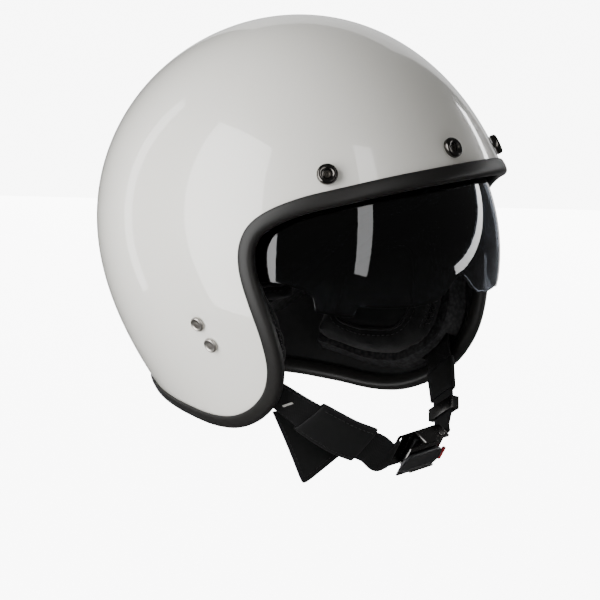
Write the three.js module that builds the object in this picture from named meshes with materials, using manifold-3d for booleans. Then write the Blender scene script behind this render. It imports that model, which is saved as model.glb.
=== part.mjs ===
// Open-face motorcycle helmet with a drop-down sun visor, a snap row on the brow and a
// ratchet-buckle chin strap. Millimetres, +Z up, the brow faces -Y, the wearer's right is -X.
// The origin is in the middle of the head cavity, at temple height.
import * as THREE from 'three';
import { mergeVertices } from 'three/addons/utils/BufferGeometryUtils.js';
import Module from 'manifold-3d';

const wasm = await Module();
wasm.setup();

// ---------------------------------------------------------------- driving dimensions
const GAP = 0.35;                 // air kept between neighbouring pieces
const FACET = 0.9;                // room for the flat facets of the curved layers

const SHELL = {
  halfWidth: 127, crown: 140.6, halfLength: 150.2,
  widestZ: 7.2, longestZ: -25.2,  // heights of the widest and the longest section
  widthTuck: -0.12, lengthTuck: -0.03,
  centreY: -1.1, lean: 0.125, bow: -0.061,
  wall: 3.5,
};
// Right half of the painted edge, from the middle of the brow round to the middle of the nape.
const PAINTED_EDGE = [
  [0, -127, 55], [-26, -125, 54.5], [-52, -116, 52], [-80, -98, 46], [-97, -81, 41],
  [-109, -65, 33.5], [-117, -52, 24], [-120, -46, 9], [-120, -47, -8], [-117, -52, -27],
  [-110, -57, -50], [-103, -57.5, -72], [-97, -49, -89], [-92, -33, -102], [-87, -12, -110.5],
  [-84, 10, -112.5], [-80, 34, -109.5], [-70, 61, -105.5], [-50, 92, -101], [-25, 111, -98.5],
  [0, 117, -98],
];
const TRIM = { cover: 7.5, lip: 2.2, bead: 3.4, back: 1.9, innerGap: 1.2 };
const POLE = new THREE.Vector3(0, 0.77, 0.64).normalize();   // centre that the rings grow from

const SNAP = { side: 83.8, sideZ: 54.1, centreZ: 64.4, radius: 6.85, height: 4.8, mouth: 3.3 };
const RIVET = { radius: 5, dome: 2.6, places: { upper: [-10.6, -45.9], lower: [-17.5, -59.5] } };

const VISOR = {
  pivot: [-6.4, -13.5],           // y and z of the swing axis
  halfSpan: 113.3, reach: 124.5, fullness: 2.15, thick: 2.2,
  hubRadius: 14, hubHole: 3.4, hubInner: 111.3, hubEnd: 117.6,
};
const STRAP = { width: 24, thick: 1.8, sleeveWidth: 29, sleeveThick: 6 };

// ---------------------------------------------------------------- small tools
const v = (x, y, z) => new THREE.Vector3(x, y, z);
const lerp = THREE.MathUtils.lerp;
const rad = THREE.MathUtils.degToRad;

function signedVolume(points, faces) {
  const cross = v(0, 0, 0);
  return faces.reduce((sum, [a, b, c]) => (
    sum + points[a].dot(cross.crossVectors(points[b], points[c])) / 6), 0);
}

function solid(points, faces) {
  const facing = signedVolume(points, faces) < 0 ? faces.map(([a, b, c]) => [a, c, b]) : faces;
  const geometry = new THREE.BufferGeometry().setFromPoints(points);
  geometry.setIndex(facing.flat());
  geometry.computeVertexNormals();
  return geometry;
}

// A three.js geometry welded into one closed body facing out.
function welded(geometry) {
  const bare = geometry.clone();
  bare.deleteAttribute('normal');
  bare.deleteAttribute('uv');
  const merged = mergeVertices(bare, 1e-4);
  const place = merged.attributes.position;
  const points = Array.from({ length: place.count }, (_, i) => v(0, 0, 0).fromBufferAttribute(place, i));
  const faces = [];
  for (let i = 0; i < merged.index.count; i += 3) {
    const [a, b, c] = merged.index.array.slice(i, i + 3);
    if (a !== b && b !== c && c !== a) {
      faces.push([a, b, c]);
    }
  }
  return solid(points, faces);
}

function toManifold(geometry) {
  const closed = welded(geometry);
  return new wasm.Manifold(new wasm.Mesh({
    numProp: 3,
    vertProperties: new Float32Array(closed.attributes.position.array),
    triVerts: new Uint32Array(closed.index.array),
  }));
}

function fromManifold(body) {
  const mesh = body.getMesh();
  const geometry = new THREE.BufferGeometry();
  geometry.setAttribute('position', new THREE.BufferAttribute(new Float32Array(mesh.vertProperties), 3));
  geometry.setIndex(Array.from(mesh.triVerts));
  geometry.computeVertexNormals();
  return geometry;
}

const cut = (geometry, ...tools) => fromManifold(
  tools.reduce((body, tool) => body.subtract(toManifold(tool)), toManifold(geometry)));
const join = (geometry, ...others) => fromManifold(
  others.reduce((body, other) => body.add(toManifold(other)), toManifold(geometry)));

// A profile of [radius, height] points turned about +Z.
function turned(profile, sides = 24) {
  const lathe = new THREE.LatheGeometry(profile.map(([r, h]) => new THREE.Vector2(r, h)), sides);
  return welded(lathe.rotateX(Math.PI / 2));
}

const disc = (radius, low, high, sides = 24) => turned(
  [[0, low], [radius, low], [radius, high], [0, high]], sides);
const ring = (outer, inner, low, high, sides = 24) => turned(
  [[inner, low], [outer, low], [outer, high], [inner, high], [inner, low]], sides);
const block = (x0, x1, y0, y1, z0, z1) => welded(
  new THREE.BoxGeometry(x1 - x0, y1 - y0, z1 - z0)
    .translate((x0 + x1) / 2, (y0 + y1) / 2, (z0 + z1) / 2));

// Axes of a local frame as a matrix: x, y and z directions and an origin.
function frameAt(origin, xAxis, yAxis, zAxis) {
  return new THREE.Matrix4().makeBasis(xAxis, yAxis, zAxis).setPosition(origin);
}

function frameAlong(origin, zAxis, hint) {
  const xAxis = hint.clone().addScaledVector(zAxis, -hint.dot(zAxis)).normalize();
  return frameAt(origin, xAxis, zAxis.clone().cross(xAxis), zAxis);
}

// Two rows of points, outer and inner, of one open grid closed into a slab.
function slab(outer, inner) {
  const rows = outer.length;
  const columns = outer[0].length;
  const points = [...outer.flat(), ...inner.flat()];
  const at = (layer, i, j) => (layer * rows + i) * columns + j;
  const faces = [];
  const quad = (a, b, c, d) => faces.push([a, b, c], [a, c, d]);
  for (let i = 0; i < rows - 1; i += 1) {
    for (let j = 0; j < columns - 1; j += 1) {
      quad(at(0, i, j), at(0, i + 1, j), at(0, i + 1, j + 1), at(0, i, j + 1));
      quad(at(1, i, j), at(1, i, j + 1), at(1, i + 1, j + 1), at(1, i + 1, j));
    }
  }
  for (let j = 0; j < columns - 1; j += 1) {
    quad(at(0, 0, j), at(0, 0, j + 1), at(1, 0, j + 1), at(1, 0, j));
    quad(at(0, rows - 1, j), at(1, rows - 1, j), at(1, rows - 1, j + 1), at(0, rows - 1, j + 1));
  }
  for (let i = 0; i < rows - 1; i += 1) {
    quad(at(0, i, 0), at(1, i, 0), at(1, i + 1, 0), at(0, i + 1, 0));
    quad(at(0, i, columns - 1), at(0, i + 1, columns - 1), at(1, i + 1, columns - 1), at(1, i, columns - 1));
  }
  return solid(points, faces);
}

// A flat section of [across, out] points carried along a row of frames, as a closed loop or
// as a bar with capped ends.
function swept(frames, section, looped = false) {
  const size = section.length;
  const points = frames.flatMap((frame) => section.map(([across, out]) => (
    v(across, out, 0).applyMatrix4(frame))));
  const faces = [];
  const last = looped ? frames.length : frames.length - 1;
  for (let i = 0; i < last; i += 1) {
    const next = (i + 1) % frames.length;
    for (let j = 0; j < size; j += 1) {
      const k = (j + 1) % size;
      faces.push([i * size + j, next * size + j, next * size + k]);
      faces.push([i * size + j, next * size + k, i * size + k]);
    }
  }
  if (!looped) {
    const outline = section.map(([across, out]) => new THREE.Vector2(across, out));
    const far = (frames.length - 1) * size;
    THREE.ShapeUtils.triangulateShape(outline, []).forEach(([a, b, c]) => {
      const along = THREE.ShapeUtils.area([outline[a], outline[b], outline[c]]);
      const [p, q] = along * THREE.ShapeUtils.area(outline) > 0 ? [b, c] : [c, b];
      faces.push([a, p, q], [far + a, far + q, far + p]);
    });
  }
  return solid(points, faces);
}

// ---------------------------------------------------------------- the shell's form
function bulge(z, centre, tuck) {
  const t = (z - centre) / (SHELL.crown - centre);
  if (t > 0) {
    return Math.sqrt(Math.max(1 - t * t, 0));
  }
  return 1 - 0.5 * t * t + tuck * t * t * t;
}

const shellWidthAt = (z) => SHELL.halfWidth * bulge(z, SHELL.widestZ, SHELL.widthTuck);
const shellLengthAt = (z) => SHELL.halfLength * bulge(z, SHELL.longestZ, SHELL.lengthTuck);
const shellCentreAt = (z) => SHELL.centreY + SHELL.lean * z + SHELL.bow * z * z / 100;

// Below zero inside the shell's outer surface, above zero outside it.
function shellField(p) {
  if (p.z >= SHELL.crown - 1e-6) {
    return 1;
  }
  const across = p.x / shellWidthAt(p.z);
  const along = (p.y - shellCentreAt(p.z)) / shellLengthAt(p.z);
  return across * across + along * along - 1;
}

function onShell(direction) {
  const ray = direction.clone().normalize();
  let near = 20;
  let far = 260;
  for (let i = 0; i < 40; i += 1) {
    const middle = (near + far) / 2;
    if (shellField(ray.clone().multiplyScalar(middle)) < 0) {
      near = middle;
    } else {
      far = middle;
    }
  }
  return ray.multiplyScalar(near);
}

function shellNormal(p) {
  const step = 0.02;
  const pulled = p.clone().multiplyScalar(0.9995);
  const slope = (axis) => (
    shellField(pulled.clone().addScaledVector(axis, step))
    - shellField(pulled.clone().addScaledVector(axis, -step)));
  return v(slope(v(1, 0, 0)), slope(v(0, 1, 0)), slope(v(0, 0, 1))).normalize();
}

const below = (p, depth) => p.clone().addScaledVector(shellNormal(p), -depth);
const frontOfShell = (x, z) => onShellAt(x, z, -1);

function onShellAt(x, z, side) {
  const along = Math.sqrt(1 - (x / shellWidthAt(z)) ** 2) * shellLengthAt(z);
  return v(x, shellCentreAt(z) + side * along, z);
}

function sideOfShell(side, y, z) {
  const along = (y - shellCentreAt(z)) / shellLengthAt(z);
  return v(side * shellWidthAt(z) * Math.sqrt(1 - along * along), y, z);
}

const fullLoop = (half) => [
  ...half.map(([x, y, z]) => v(x, y, z)),
  ...half.slice(1, -1).reverse().map(([x, y, z]) => v(-x, y, z)),
];

function smoothLoop(half, count) {
  const curve = new THREE.CatmullRomCurve3(fullLoop(half), true, 'centripetal');
  curve.arcLengthDivisions = 800;
  return curve.getSpacedPoints(count).slice(0, count).map((p) => onShell(p));
}

// The loop pushed sideways over the surface, away from the crown.
function pushedLoop(loop, distance) {
  return loop.map((p, i) => {
    const along = loop[(i + 1) % loop.length].clone().sub(loop.at(i - 1)).normalize();
    const away = along.clone().cross(shellNormal(p)).normalize();
    const outward = away.dot(POLE) < 0 ? away : away.negate();
    return onShell(p.clone().addScaledVector(outward, distance));
  });
}

function towards(rimPoint, part) {
  const end = rimPoint.clone().normalize();
  const angle = POLE.angleTo(end);
  return POLE.clone().multiplyScalar(Math.sin((1 - part) * angle))
    .addScaledVector(end, Math.sin(part * angle))
    .normalize();
}

// A domed layer of the helmet between two depths under the shell's outer surface.
function dome(rim, rings, outerDepth, innerDepth) {
  const size = rim.length;
  const layer = (depth) => {
    const points = [below(onShell(POLE), depth)];
    for (let i = 1; i <= rings; i += 1) {
      rim.forEach((p) => points.push(below(onShell(towards(p, i / rings)), depth)));
    }
    return points;
  };
  const outer = layer(outerDepth);
  const inner = layer(innerDepth);
  const count = outer.length;
  const at = (i, j) => (i === 0 ? 0 : 1 + (i - 1) * size + (j % size));
  const faces = [];
  for (let j = 0; j < size; j += 1) {
    faces.push([0, at(1, j), at(1, j + 1)], [count, count + at(1, j + 1), count + at(1, j)]);
    for (let i = 1; i < rings; i += 1) {
      const [a, b, c, d] = [at(i, j), at(i + 1, j), at(i + 1, j + 1), at(i, j + 1)];
      faces.push([a, b, c], [a, c, d], [count + a, count + c, count + b], [count + a, count + d, count + c]);
    }
    const [p, q] = [at(rings, j), at(rings, j + 1)];
    faces.push([p, count + p, count + q], [p, count + q, q]);
  }
  return solid([...outer, ...inner], faces);
}

// ---------------------------------------------------------------- materials
const finish = (color, roughness, metalness = 0, extra = {}) => new THREE.MeshStandardMaterial(
  { color, roughness, metalness, ...extra });
const gelcoat = () => finish(0xe6e5e1, 0.12);
const rubber = () => finish(0x1d1c1b, 0.5);
const foam = () => finish(0x26262a, 0.95);
const cloth = () => finish(0x1b1c1e, 0.9);
const smoke = () => finish(0x20242a, 0.08, 0, { transparent: true, opacity: 0.75 });
const darkChrome = () => finish(0x4a4846, 0.22, 1);
const steel = () => finish(0xb9b8b4, 0.28, 1);
const nickel = () => finish(0x8d8983, 0.35, 1);
const blackPlastic = () => finish(0x17181a, 0.4);
const redPlastic = () => finish(0xa3131b, 0.45);
const webbingCloth = () => finish(0x202124, 0.85);

const helmet = new THREE.Group();

function add(name, geometry, material, matrix = null) {
  const mesh = new THREE.Mesh(geometry, material);
  mesh.name = name;
  if (matrix) {
    matrix.decompose(mesh.position, mesh.quaternion, mesh.scale);
  }
  helmet.add(mesh);
  return mesh;
}

// ---------------------------------------------------------------- shell and edge trim
const paintedEdge = smoothLoop(PAINTED_EDGE, 68);
const shellEdge = pushedLoop(paintedEdge, TRIM.cover);
const snapSeats = {
  centre: frontOfShell(0, SNAP.centreZ),
  right: frontOfShell(-SNAP.side, SNAP.sideZ),
  left: frontOfShell(SNAP.side, SNAP.sideZ),
};
const seatFrame = (p, hint = v(0, 0, 1)) => frameAlong(p, shellNormal(p), hint);
const SIDES = { right: -1, left: 1 };
const rivetSeats = {};
Object.entries(SIDES).forEach(([sideName, side]) => {
  const places = Object.values(RIVET.places).map(([y, z]) => sideOfShell(side, y, z));
  const middle = places[0].clone().add(places[1]).multiplyScalar(0.5);
  const normal = shellNormal(onShell(middle));
  const hint = places[0].clone().sub(places[1]).normalize();
  Object.keys(RIVET.places).forEach((level, i) => {
    rivetSeats[`${sideName}_${level}`] = frameAlong(places[i], normal, hint);
  });
  rivetSeats[sideName] = frameAlong(onShell(middle), normal, hint);
});

const bore = (frame, radius, low = -12, high = 8) => disc(radius, low, high, 16).applyMatrix4(frame);
const shellHoles = [
  ...Object.values(snapSeats).map((p) => bore(seatFrame(p), 2)),
  ...Object.keys(RIVET.places).flatMap((level) => Object.keys(SIDES).map(
    (side) => bore(rivetSeats[`${side}_${level}`], 2.8))),
];
add('outer_shell', cut(dome(shellEdge, 11, 0, SHELL.wall), ...shellHoles), gelcoat());

// The trim's section: [towards the opening, outward], with the wall of the shell in its slot.
const { lip, bead, back, innerGap, cover } = TRIM;
const slotIn = -SHELL.wall - innerGap;
const trimSection = [
  [-cover, GAP], [-cover, GAP + lip * 0.6], [-cover + 1, GAP + lip], [0, GAP + lip + 0.3],
  [bead * 0.6, GAP + lip - 0.6], [bead, -1.2], [bead, -3.6], [bead * 0.5, slotIn - back],
  [-cover + 2, slotIn - back + 0.6], [-cover + 1.5, slotIn], [GAP, slotIn], [GAP, GAP],
];
const trimFrames = shellEdge.map((p, i) => {
  const along = shellEdge[(i + 1) % shellEdge.length].clone().sub(shellEdge.at(i - 1)).normalize();
  const normal = shellNormal(p);
  const outward = along.clone().cross(normal).normalize();
  if (outward.dot(POLE) > 0) {
    outward.negate();
  }
  return frameAt(p, outward, normal, outward.clone().cross(normal));
});
add('edge_trim', swept(trimFrames, trimSection, true), rubber());

// ---------------------------------------------------------------- brow snaps
const snapBase = 0.5;
const snapFloor = 1.8;
const snapSocket = turned([
  [2, snapBase], [6.2, snapBase], [SNAP.radius, 1.2], [SNAP.radius, 3.2], [6.1, 4.4],
  [5.4, SNAP.height], [4.1, SNAP.height], [SNAP.mouth, 4.2], [SNAP.mouth, 3.8], [4.5, 3.5],
  [4.5, 2.6], [3.9, snapFloor], [2, snapFloor], [2, snapBase]], 18);
const springArc = 300;
const snapSpring = swept(Array.from({ length: 21 }, (_, i) => {
  const turn = rad(i / 20 * springArc);
  const out = v(Math.cos(turn), Math.sin(turn), 0);
  return frameAt(out.clone().multiplyScalar(3.75).setZ(2.95), out, v(0, 0, 1), v(0, 0, 1).cross(out).negate());
}), [[-0.32, -0.22], [0.32, -0.22], [0.32, 0.22], [-0.32, 0.22]]);
const snapRivet = turned([
  [0, 1.4], [0.9, 1.4], [0.9, 2.6], [2.3, 2.6], [2.6, 2.15], [1.6, 2.15], [1.6, -5.9],
  [3.4, -5.9], [3.4, -6.6], [0, -6.6]], 12);
const snapWasher = ring(5, 1.95, -5.5, -4.7, 16);
Object.entries(snapSeats).forEach(([place, p]) => {
  const frame = seatFrame(p);
  add(`snap_socket_${place}`, snapSocket, darkChrome(), frame);
  add(`snap_spring_${place}`, snapSpring, steel(), frame);
  add(`snap_rivet_${place}`, snapRivet, nickel(), frame);
  add(`snap_washer_${place}`, snapWasher, steel(), frame);
});

// ---------------------------------------------------------------- strap rivets and plates
const plateDepth = 5.6;
const plateThick = 1.6;
const strapDepth = plateDepth + plateThick + 2 * GAP + STRAP.thick / 2;
const tailDepth = strapDepth + STRAP.thick / 2 + GAP;
const strapRivet = turned([
  [0, -tailDepth - 0.9], [4, -tailDepth - 0.9], [4, -tailDepth], [2.4, -tailDepth], [2.4, 0.6],
  [RIVET.radius, 0.6], [RIVET.radius, 1.3], [4.1, RIVET.dome - 0.3], [2.4, RIVET.dome + 0.3],
  [0, RIVET.dome + 0.5]], 18);
const rivetPitch = rivetSeats.right_upper.elements.slice(12, 15)
  .reduce((sum, value, i) => sum + (value - rivetSeats.right_lower.elements[12 + i]) ** 2, 0) ** 0.5;
const anchorPlate = cut(
  block(-18, 18, -11, 11, -plateDepth - plateThick, -plateDepth),
  ...[-1, 1].map((end) => disc(2.8, -9, 0, 16).translate(end * rivetPitch / 2, 0, 0)));
Object.keys(SIDES).forEach((side) => {
  Object.keys(RIVET.places).forEach((level) => {
    add(`strap_rivet_${side}_${level}`, strapRivet, nickel(), rivetSeats[`${side}_${level}`]);
  });
  add(`strap_anchor_plate_${side}`, anchorPlate, steel(), rivetSeats[side]);
});

// ---------------------------------------------------------------- sun visor
const [pivotY, pivotZ] = VISOR.pivot;

// A point of the visor's turned form: part runs from the middle (0) to the hub (1).
function visorPoint(side, part, angle, shrink = 0) {
  const power = 2 / VISOR.fullness;
  const turn = part * Math.PI / 2;
  const x = (VISOR.halfSpan - shrink) * Math.sin(turn) ** power;
  const r = (VISOR.reach - shrink) * Math.cos(turn) ** power;
  return v(side * x, pivotY - r * Math.cos(angle), pivotZ + r * Math.sin(angle));
}

// Part, lower edge and upper edge in degrees above the forward direction.
const visorStations = [
  [0, -1.2, 38], [0.035, -3.2, 38], [0.067, -6.2, 38], [0.1, -8, 38], [0.2, -9.3, 38],
  [0.3, -9.6, 38], [0.42, -9.6, 37.3], [0.427, -13.8, 37.2], [0.572, -14.4, 35.3],
  [0.58, -8.5, 35.1], [0.62, -4.8, 34.2], [0.7, -2.4, 31.5], [0.76, -2, 30.8], [0.82, -6, 34],
  [0.88, -14.5, 42.5], [0.92, -28, 56], [0.945, -45, 73],
];
const visorRows = 9;

function visorGrid(shrink) {
  const half = (side) => visorStations.map(([part, low, high]) => (
    Array.from({ length: visorRows }, (_, i) => (
      visorPoint(side, part, rad(lerp(low, high, i / (visorRows - 1))), shrink)))));
  return [...half(-1).slice(1).reverse(), ...half(1)];
}

const hubFrame = (side) => frameAt(v(0, pivotY, pivotZ), v(0, 1, 0), v(0, 0, side), v(side, 0, 0));
const hub = (side, geometry) => geometry.clone().applyMatrix4(hubFrame(side));
const hubDiscs = Object.values(SIDES).map((side) => hub(
  side, disc(VISOR.hubRadius, VISOR.hubInner, VISOR.hubInner + VISOR.thick, 28)));
const hubHoles = Object.values(SIDES).map((side) => hub(side, disc(VISOR.hubHole, 100, 125, 20)));
const lensShield = slab(visorGrid(0), visorGrid(VISOR.thick));
add('visor_lens', cut(join(lensShield, ...hubDiscs), ...hubHoles), smoke());

const hubOuter = VISOR.hubInner + VISOR.thick;
const frictionWasher = ring(9, VISOR.hubHole, hubOuter + GAP, hubOuter + 1.4, 24);
const pivotBase = ring(14, 3.3, hubOuter + 1.4 + GAP, VISOR.hubEnd, 28);
const pivotScrew = join(
  disc(6.5, VISOR.hubInner - 2.3, VISOR.hubInner - GAP, 24),
  disc(2.9, VISOR.hubInner - 1, VISOR.hubEnd - 0.2, 16));
const screwSlot = block(-5, 5, -0.6, 0.6, VISOR.hubInner - 3, VISOR.hubInner - 1.4);
Object.entries(SIDES).forEach(([name, side]) => {
  add(`visor_pivot_base_${name}`, hub(side, pivotBase), blackPlastic());
  add(`visor_friction_washer_${name}`, hub(side, frictionWasher), rubber());
  add(`visor_pivot_screw_${name}`, hub(side, cut(pivotScrew, screwSlot)), steel());
});

// Space that the visor sweeps through, kept clear of the foam.
const sweepFrom = -42;
const sweepTo = 90;
const pocketRing = (shrink) => Array.from({ length: 17 }, (_, i) => {
  const part = lerp(-0.93, 0.93, i / 16);
  return Array.from({ length: 12 }, (__, j) => (
    visorPoint(Math.sign(part) || 1, Math.abs(part), rad(lerp(sweepFrom, sweepTo, j / 11)), shrink)));
});
const visorPocket = slab(pocketRing(-34), pocketRing(4.5));
const hubPockets = Object.values(SIDES).map((side) => hub(side, disc(26, 107.5, 135, 28)));

// ---------------------------------------------------------------- foam liner and comfort lining
const LINER_EDGE = [
  [0, -127, 56.5], [-26, -125, 56], [-52, -116, 53.5], [-80, -98, 48], [-97, -80, 42.5],
  [-109, -62, 35], [-117, -46, 26], [-121, -34, 12], [-122, -16, 1], [-122, 8, -6],
  [-120, 32, -18], [-113, 54, -40], [-100, 74, -64], [-80, 92, -82], [-54, 106, -90],
  [-28, 116, -91.5], [0, 122, -91.5],
];
const foamDepth = SHELL.wall + GAP + FACET;
const foamInner = 33;
const linerEdge = smoothLoop(LINER_EDGE, 48);
const liner = cut(dome(linerEdge, 9, foamDepth, foamInner), visorPocket, ...hubPockets);
add('foam_liner', liner, foam());

const padInner = 45;
const padEdge = pushedLoop(linerEdge, -6);
add('crown_pad', dome(padEdge, 7, foamInner + GAP + 2 * FACET, padInner), cloth());

// Four-sided layers on the cheek and the nape, from a patch of [y, z] places.
function patch(place, rows, columns, outerDepth, innerDepth) {
  const layer = (depth) => Array.from({ length: rows + 1 }, (_, i) => (
    Array.from({ length: columns + 1 }, (__, j) => below(place(i / rows, j / columns), depth))));
  return slab(layer(outerDepth), layer(innerDepth));
}

// The roll that closes the lining round the nape.
const napePlace = (down, around) => {
  const turn = rad(lerp(-52, 52, around));
  return onShell(v(110 * Math.sin(turn), 115 * Math.cos(turn), lerp(-52, -88, down)));
};
add('neck_roll', patch(napePlace, 3, 10, padInner + GAP + 2 * FACET, 57), cloth());

const alongCurve = (heights, u) => {
  const spot = u * (heights.length - 1);
  const i = Math.min(Math.floor(spot), heights.length - 2);
  return lerp(heights[i], heights[i + 1], spot - i);
};
const foamFront = [-47, -50, -53, -54.5, -54, -52, -46];
const padFront = [-40, -43, -48, -52.5, -55, -54, -47];
const cheekFloor = [-91, -101, -107, -108.5, -108.5, -106, -103, -100];
const cheekRear = 52;
const cheekPlace = (side, ceiling, front) => (down, rearward) => {
  const z = lerp(alongCurve(ceiling, rearward), alongCurve(cheekFloor, rearward), down);
  return sideOfShell(side, lerp(alongCurve(front, down), cheekRear, rearward), z);
};
const foamCeiling = [-40, -40, -41, -44, -50, -58];
const padCeiling = [-2, -8, -14, -24, -38, -56];

// ---------------------------------------------------------------- chin strap
// The middle line of the strap and the way its width points, from the right anchor plate to
// the buckle; the left half mirrors the first part.
const anchorMiddle = (side) => v(0, 0, -strapDepth).applyMatrix4(rivetSeats[side === -1 ? 'right' : 'left']);
const strapRoute = (side, tail) => {
  const start = anchorMiddle(side);
  const run = v(0, 0, 0).setFromMatrixColumn(rivetSeats[side === -1 ? 'right' : 'left'], 0).negate();
  const hang = [
    start.clone().addScaledVector(run, -17), start, start.clone().addScaledVector(run, 17),
    v(side * 91.5, -36, -83), v(side * 80, -49, -95.5),
  ];
  return [...hang, ...tail];
};
const BUCKLE = { origin: v(26.5, -71, -142.9), slope: 0.05, tilt: 33.4 };
const buckleAlong = v(1, 0, BUCKLE.slope).normalize();
const buckleAcross = v(0, Math.sin(rad(BUCKLE.tilt)), -Math.cos(rad(BUCKLE.tilt)));
const buckleOut = buckleAlong.clone().cross(buckleAcross).negate();
const buckleFrame = new THREE.Matrix4().makeBasis(buckleAlong, buckleOut, buckleAlong.clone().cross(buckleOut))
  .setPosition(BUCKLE.origin);
const onBuckle = (along, out) => v(along, out, 0).applyMatrix4(buckleFrame);

const rightRoute = strapRoute(-1, [
  v(-68, -57, -106), v(-40, -65.5, -124.5), v(-14, -69.8, -136.5), onBuckle(-30, -0.8), onBuckle(-21.6, -0.8)]);
const leftRoute = strapRoute(1, [
  v(70, -60, -113), v(63.5, -66, -126), v(57, -69.2, -136.5), onBuckle(27, 0.2), onBuckle(22.6, 0.2)]);

// Frames along a strap: x across the width, y out of the face that looks away from the jaw.
function strapFrames(route, side, count, from = 0, to = 1) {
  const curve = new THREE.CatmullRomCurve3(route, false, 'centripetal');
  const anchorAcross = v(0, 0, 0).setFromMatrixColumn(rivetSeats[side === -1 ? 'right' : 'left'], 1);
  if (anchorAcross.y < 0) {
    anchorAcross.negate();
  }
  return Array.from({ length: count + 1 }, (_, i) => {
    const part = lerp(from, to, i / count);
    const p = curve.getPointAt(part);
    const along = curve.getTangentAt(part).normalize();
    const blend = THREE.MathUtils.smoothstep(part, 0.2, 0.75);
    const hint = anchorAcross.clone().lerp(buckleAcross, blend);
    const across = hint.addScaledVector(along, -hint.dot(along)).normalize();
    const face = along.clone().cross(across).normalize();
    const away = v(side * 0.3, -0.6, -0.5).lerp(v(side, -0.1, -0.2), 1 - blend);
    if (face.dot(away) < 0) {
      face.negate();
    }
    return frameAt(p, across, face, across.clone().cross(face));
  });
}

const flatSection = (width, thick, shift = 0) => [
  [-width / 2, shift - thick / 2], [width / 2, shift - thick / 2],
  [width / 2, shift + thick / 2], [-width / 2, shift + thick / 2]];
const routes = { right: rightRoute, left: leftRoute };
const strapSteps = { right: 44, left: 36 };
Object.entries(SIDES).forEach(([name, side]) => {
  const holes = Object.keys(RIVET.places).map((level) => bore(rivetSeats[`${name}_${level}`], 2.8, -14, 8));
  const band = swept(
    strapFrames(routes[name], side, strapSteps[name]), flatSection(STRAP.width, STRAP.thick));
  add(`strap_webbing_${name}`, cut(band, ...holes), webbingCloth());

  // Cheek foam and pad, with a channel for the strap and its plate.
  const channel = swept(strapFrames(routes[name], side, 14, 0, 0.55), [
    [-13.5, -3.2], [13.5, -3.2], [13.5, 9], [-13.5, 9]]);
  const plateRoom = block(-20, 20, -13.5, 13.5, -13.5, 3).applyMatrix4(rivetSeats[name]);
  const core = patch(cheekPlace(side, foamCeiling, foamFront), 8, 10, foamDepth, 20);
  add(`cheek_foam_${name}`, cut(core, channel, plateRoom), foam());
  const pad = patch(cheekPlace(side, padCeiling, padFront), 10, 9, 21, 41);
  add(`cheek_pad_${name}`, cut(pad, channel), cloth());
});

// Sleeves are padded tubes slipped over the webbing.
function sleeve(side, from, to) {
  const outer = swept(
    strapFrames(routes[side], SIDES[side], 12, from, to), flatSection(STRAP.sleeveWidth, STRAP.sleeveThick));
  const bite = 0.01;
  const inner = swept(
    strapFrames(routes[side], SIDES[side], 36, from - bite, to + bite),
    flatSection(STRAP.width + 1.2, STRAP.thick + 1.2));
  return cut(outer, inner);
}
add('strap_sleeve_right', sleeve('right', 0.56, 0.83), cloth());
add('strap_sleeve_left', sleeve('left', 0.58, 0.73), cloth());

// A cloth flap that hangs inside the strap at the right jaw, and a short blank tag beside it.
const flapCorners = [v(-74, -35, -107), v(-62, -50, -156), v(-22, -55, -138), v(-50, -40, -106.5)];
const flapThick = 1.6;
const flapFace = flapCorners[1].clone().sub(flapCorners[0])
  .cross(flapCorners[3].clone().sub(flapCorners[0])).normalize();
const flapGrid = (shift) => [0, 1, 2, 3, 4].map((i) => [0, 1, 2, 3].map((j) => (
  flapCorners[0].clone().lerp(flapCorners[1], i / 4)
    .lerp(flapCorners[3].clone().lerp(flapCorners[2], i / 4), j / 3)
    .addScaledVector(flapFace, shift))));
add('strap_cover_flap', slab(flapGrid(flapThick / 2), flapGrid(-flapThick / 2)), cloth());

// ---------------------------------------------------------------- ratchet buckle
// Local x runs along the strap to the left, y points out from the chin, z runs across.
const channelSection = (x0, x1, y0, y1, half) => block(x0, x1, y0, y1, -half, half);
const bucklePin = { along: 14, out: 5, radius: 1.5 };
const acrossPin = (geometry) => geometry.clone().translate(bucklePin.along, bucklePin.out, 0);
const buckleBase = cut(
  join(
    channelSection(-21, 17, -3.6, -2.4, 14),
    block(-4, 20, -3, 8, 12.4, 14),
    block(-4, 20, -3, 8, -14, -12.4)),
  acrossPin(disc(bucklePin.radius + GAP, -16, 16, 16)),
  block(-18.6, -15.8, -5, 5, -12.4, 12.4));
add('buckle_frame', buckleBase, steel(), buckleFrame);

const leverBody = cut(
  join(
    block(-19, 14, 7, 8.4, -11.8, 11.8),
    acrossPin(disc(3, -11.8, 11.8, 20)),
    block(7.6, 13, 2, 7.4, -11.8, 11.8)),
  acrossPin(disc(bucklePin.radius + GAP, -16, 16, 16)),
  acrossPin(block(-3.6, 4, -4, 4, -5.4, 5.4)));
add('buckle_lever', leverBody, steel(), buckleFrame);

const padShape = new THREE.Shape();
const padEnd = 7;
padShape.absarc(-16, 0, padEnd, Math.PI / 2, 1.5 * Math.PI, false);
padShape.absarc(9, 0, padEnd, -Math.PI / 2, Math.PI / 2, false);
const leverPad = new THREE.ExtrudeGeometry(padShape, {
  depth: 1, bevelEnabled: true, bevelThickness: 0.7, bevelSize: 0.7, bevelSegments: 1, curveSegments: 8,
}).rotateX(-Math.PI / 2).translate(0, 8.4 + GAP + 0.7, 0);
add('buckle_lever_pad', welded(leverPad), blackPlastic(), buckleFrame);

const pinEnds = [-1, 1].map((end) => acrossPin(disc(2.3, 0, 0.9, 16).translate(0, 0, end > 0 ? 14.3 : -15.2)));
const pinBody = join(acrossPin(disc(bucklePin.radius, -14.8, 14.8, 16)), ...pinEnds);
add('buckle_pin', pinBody, steel(), buckleFrame);

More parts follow.
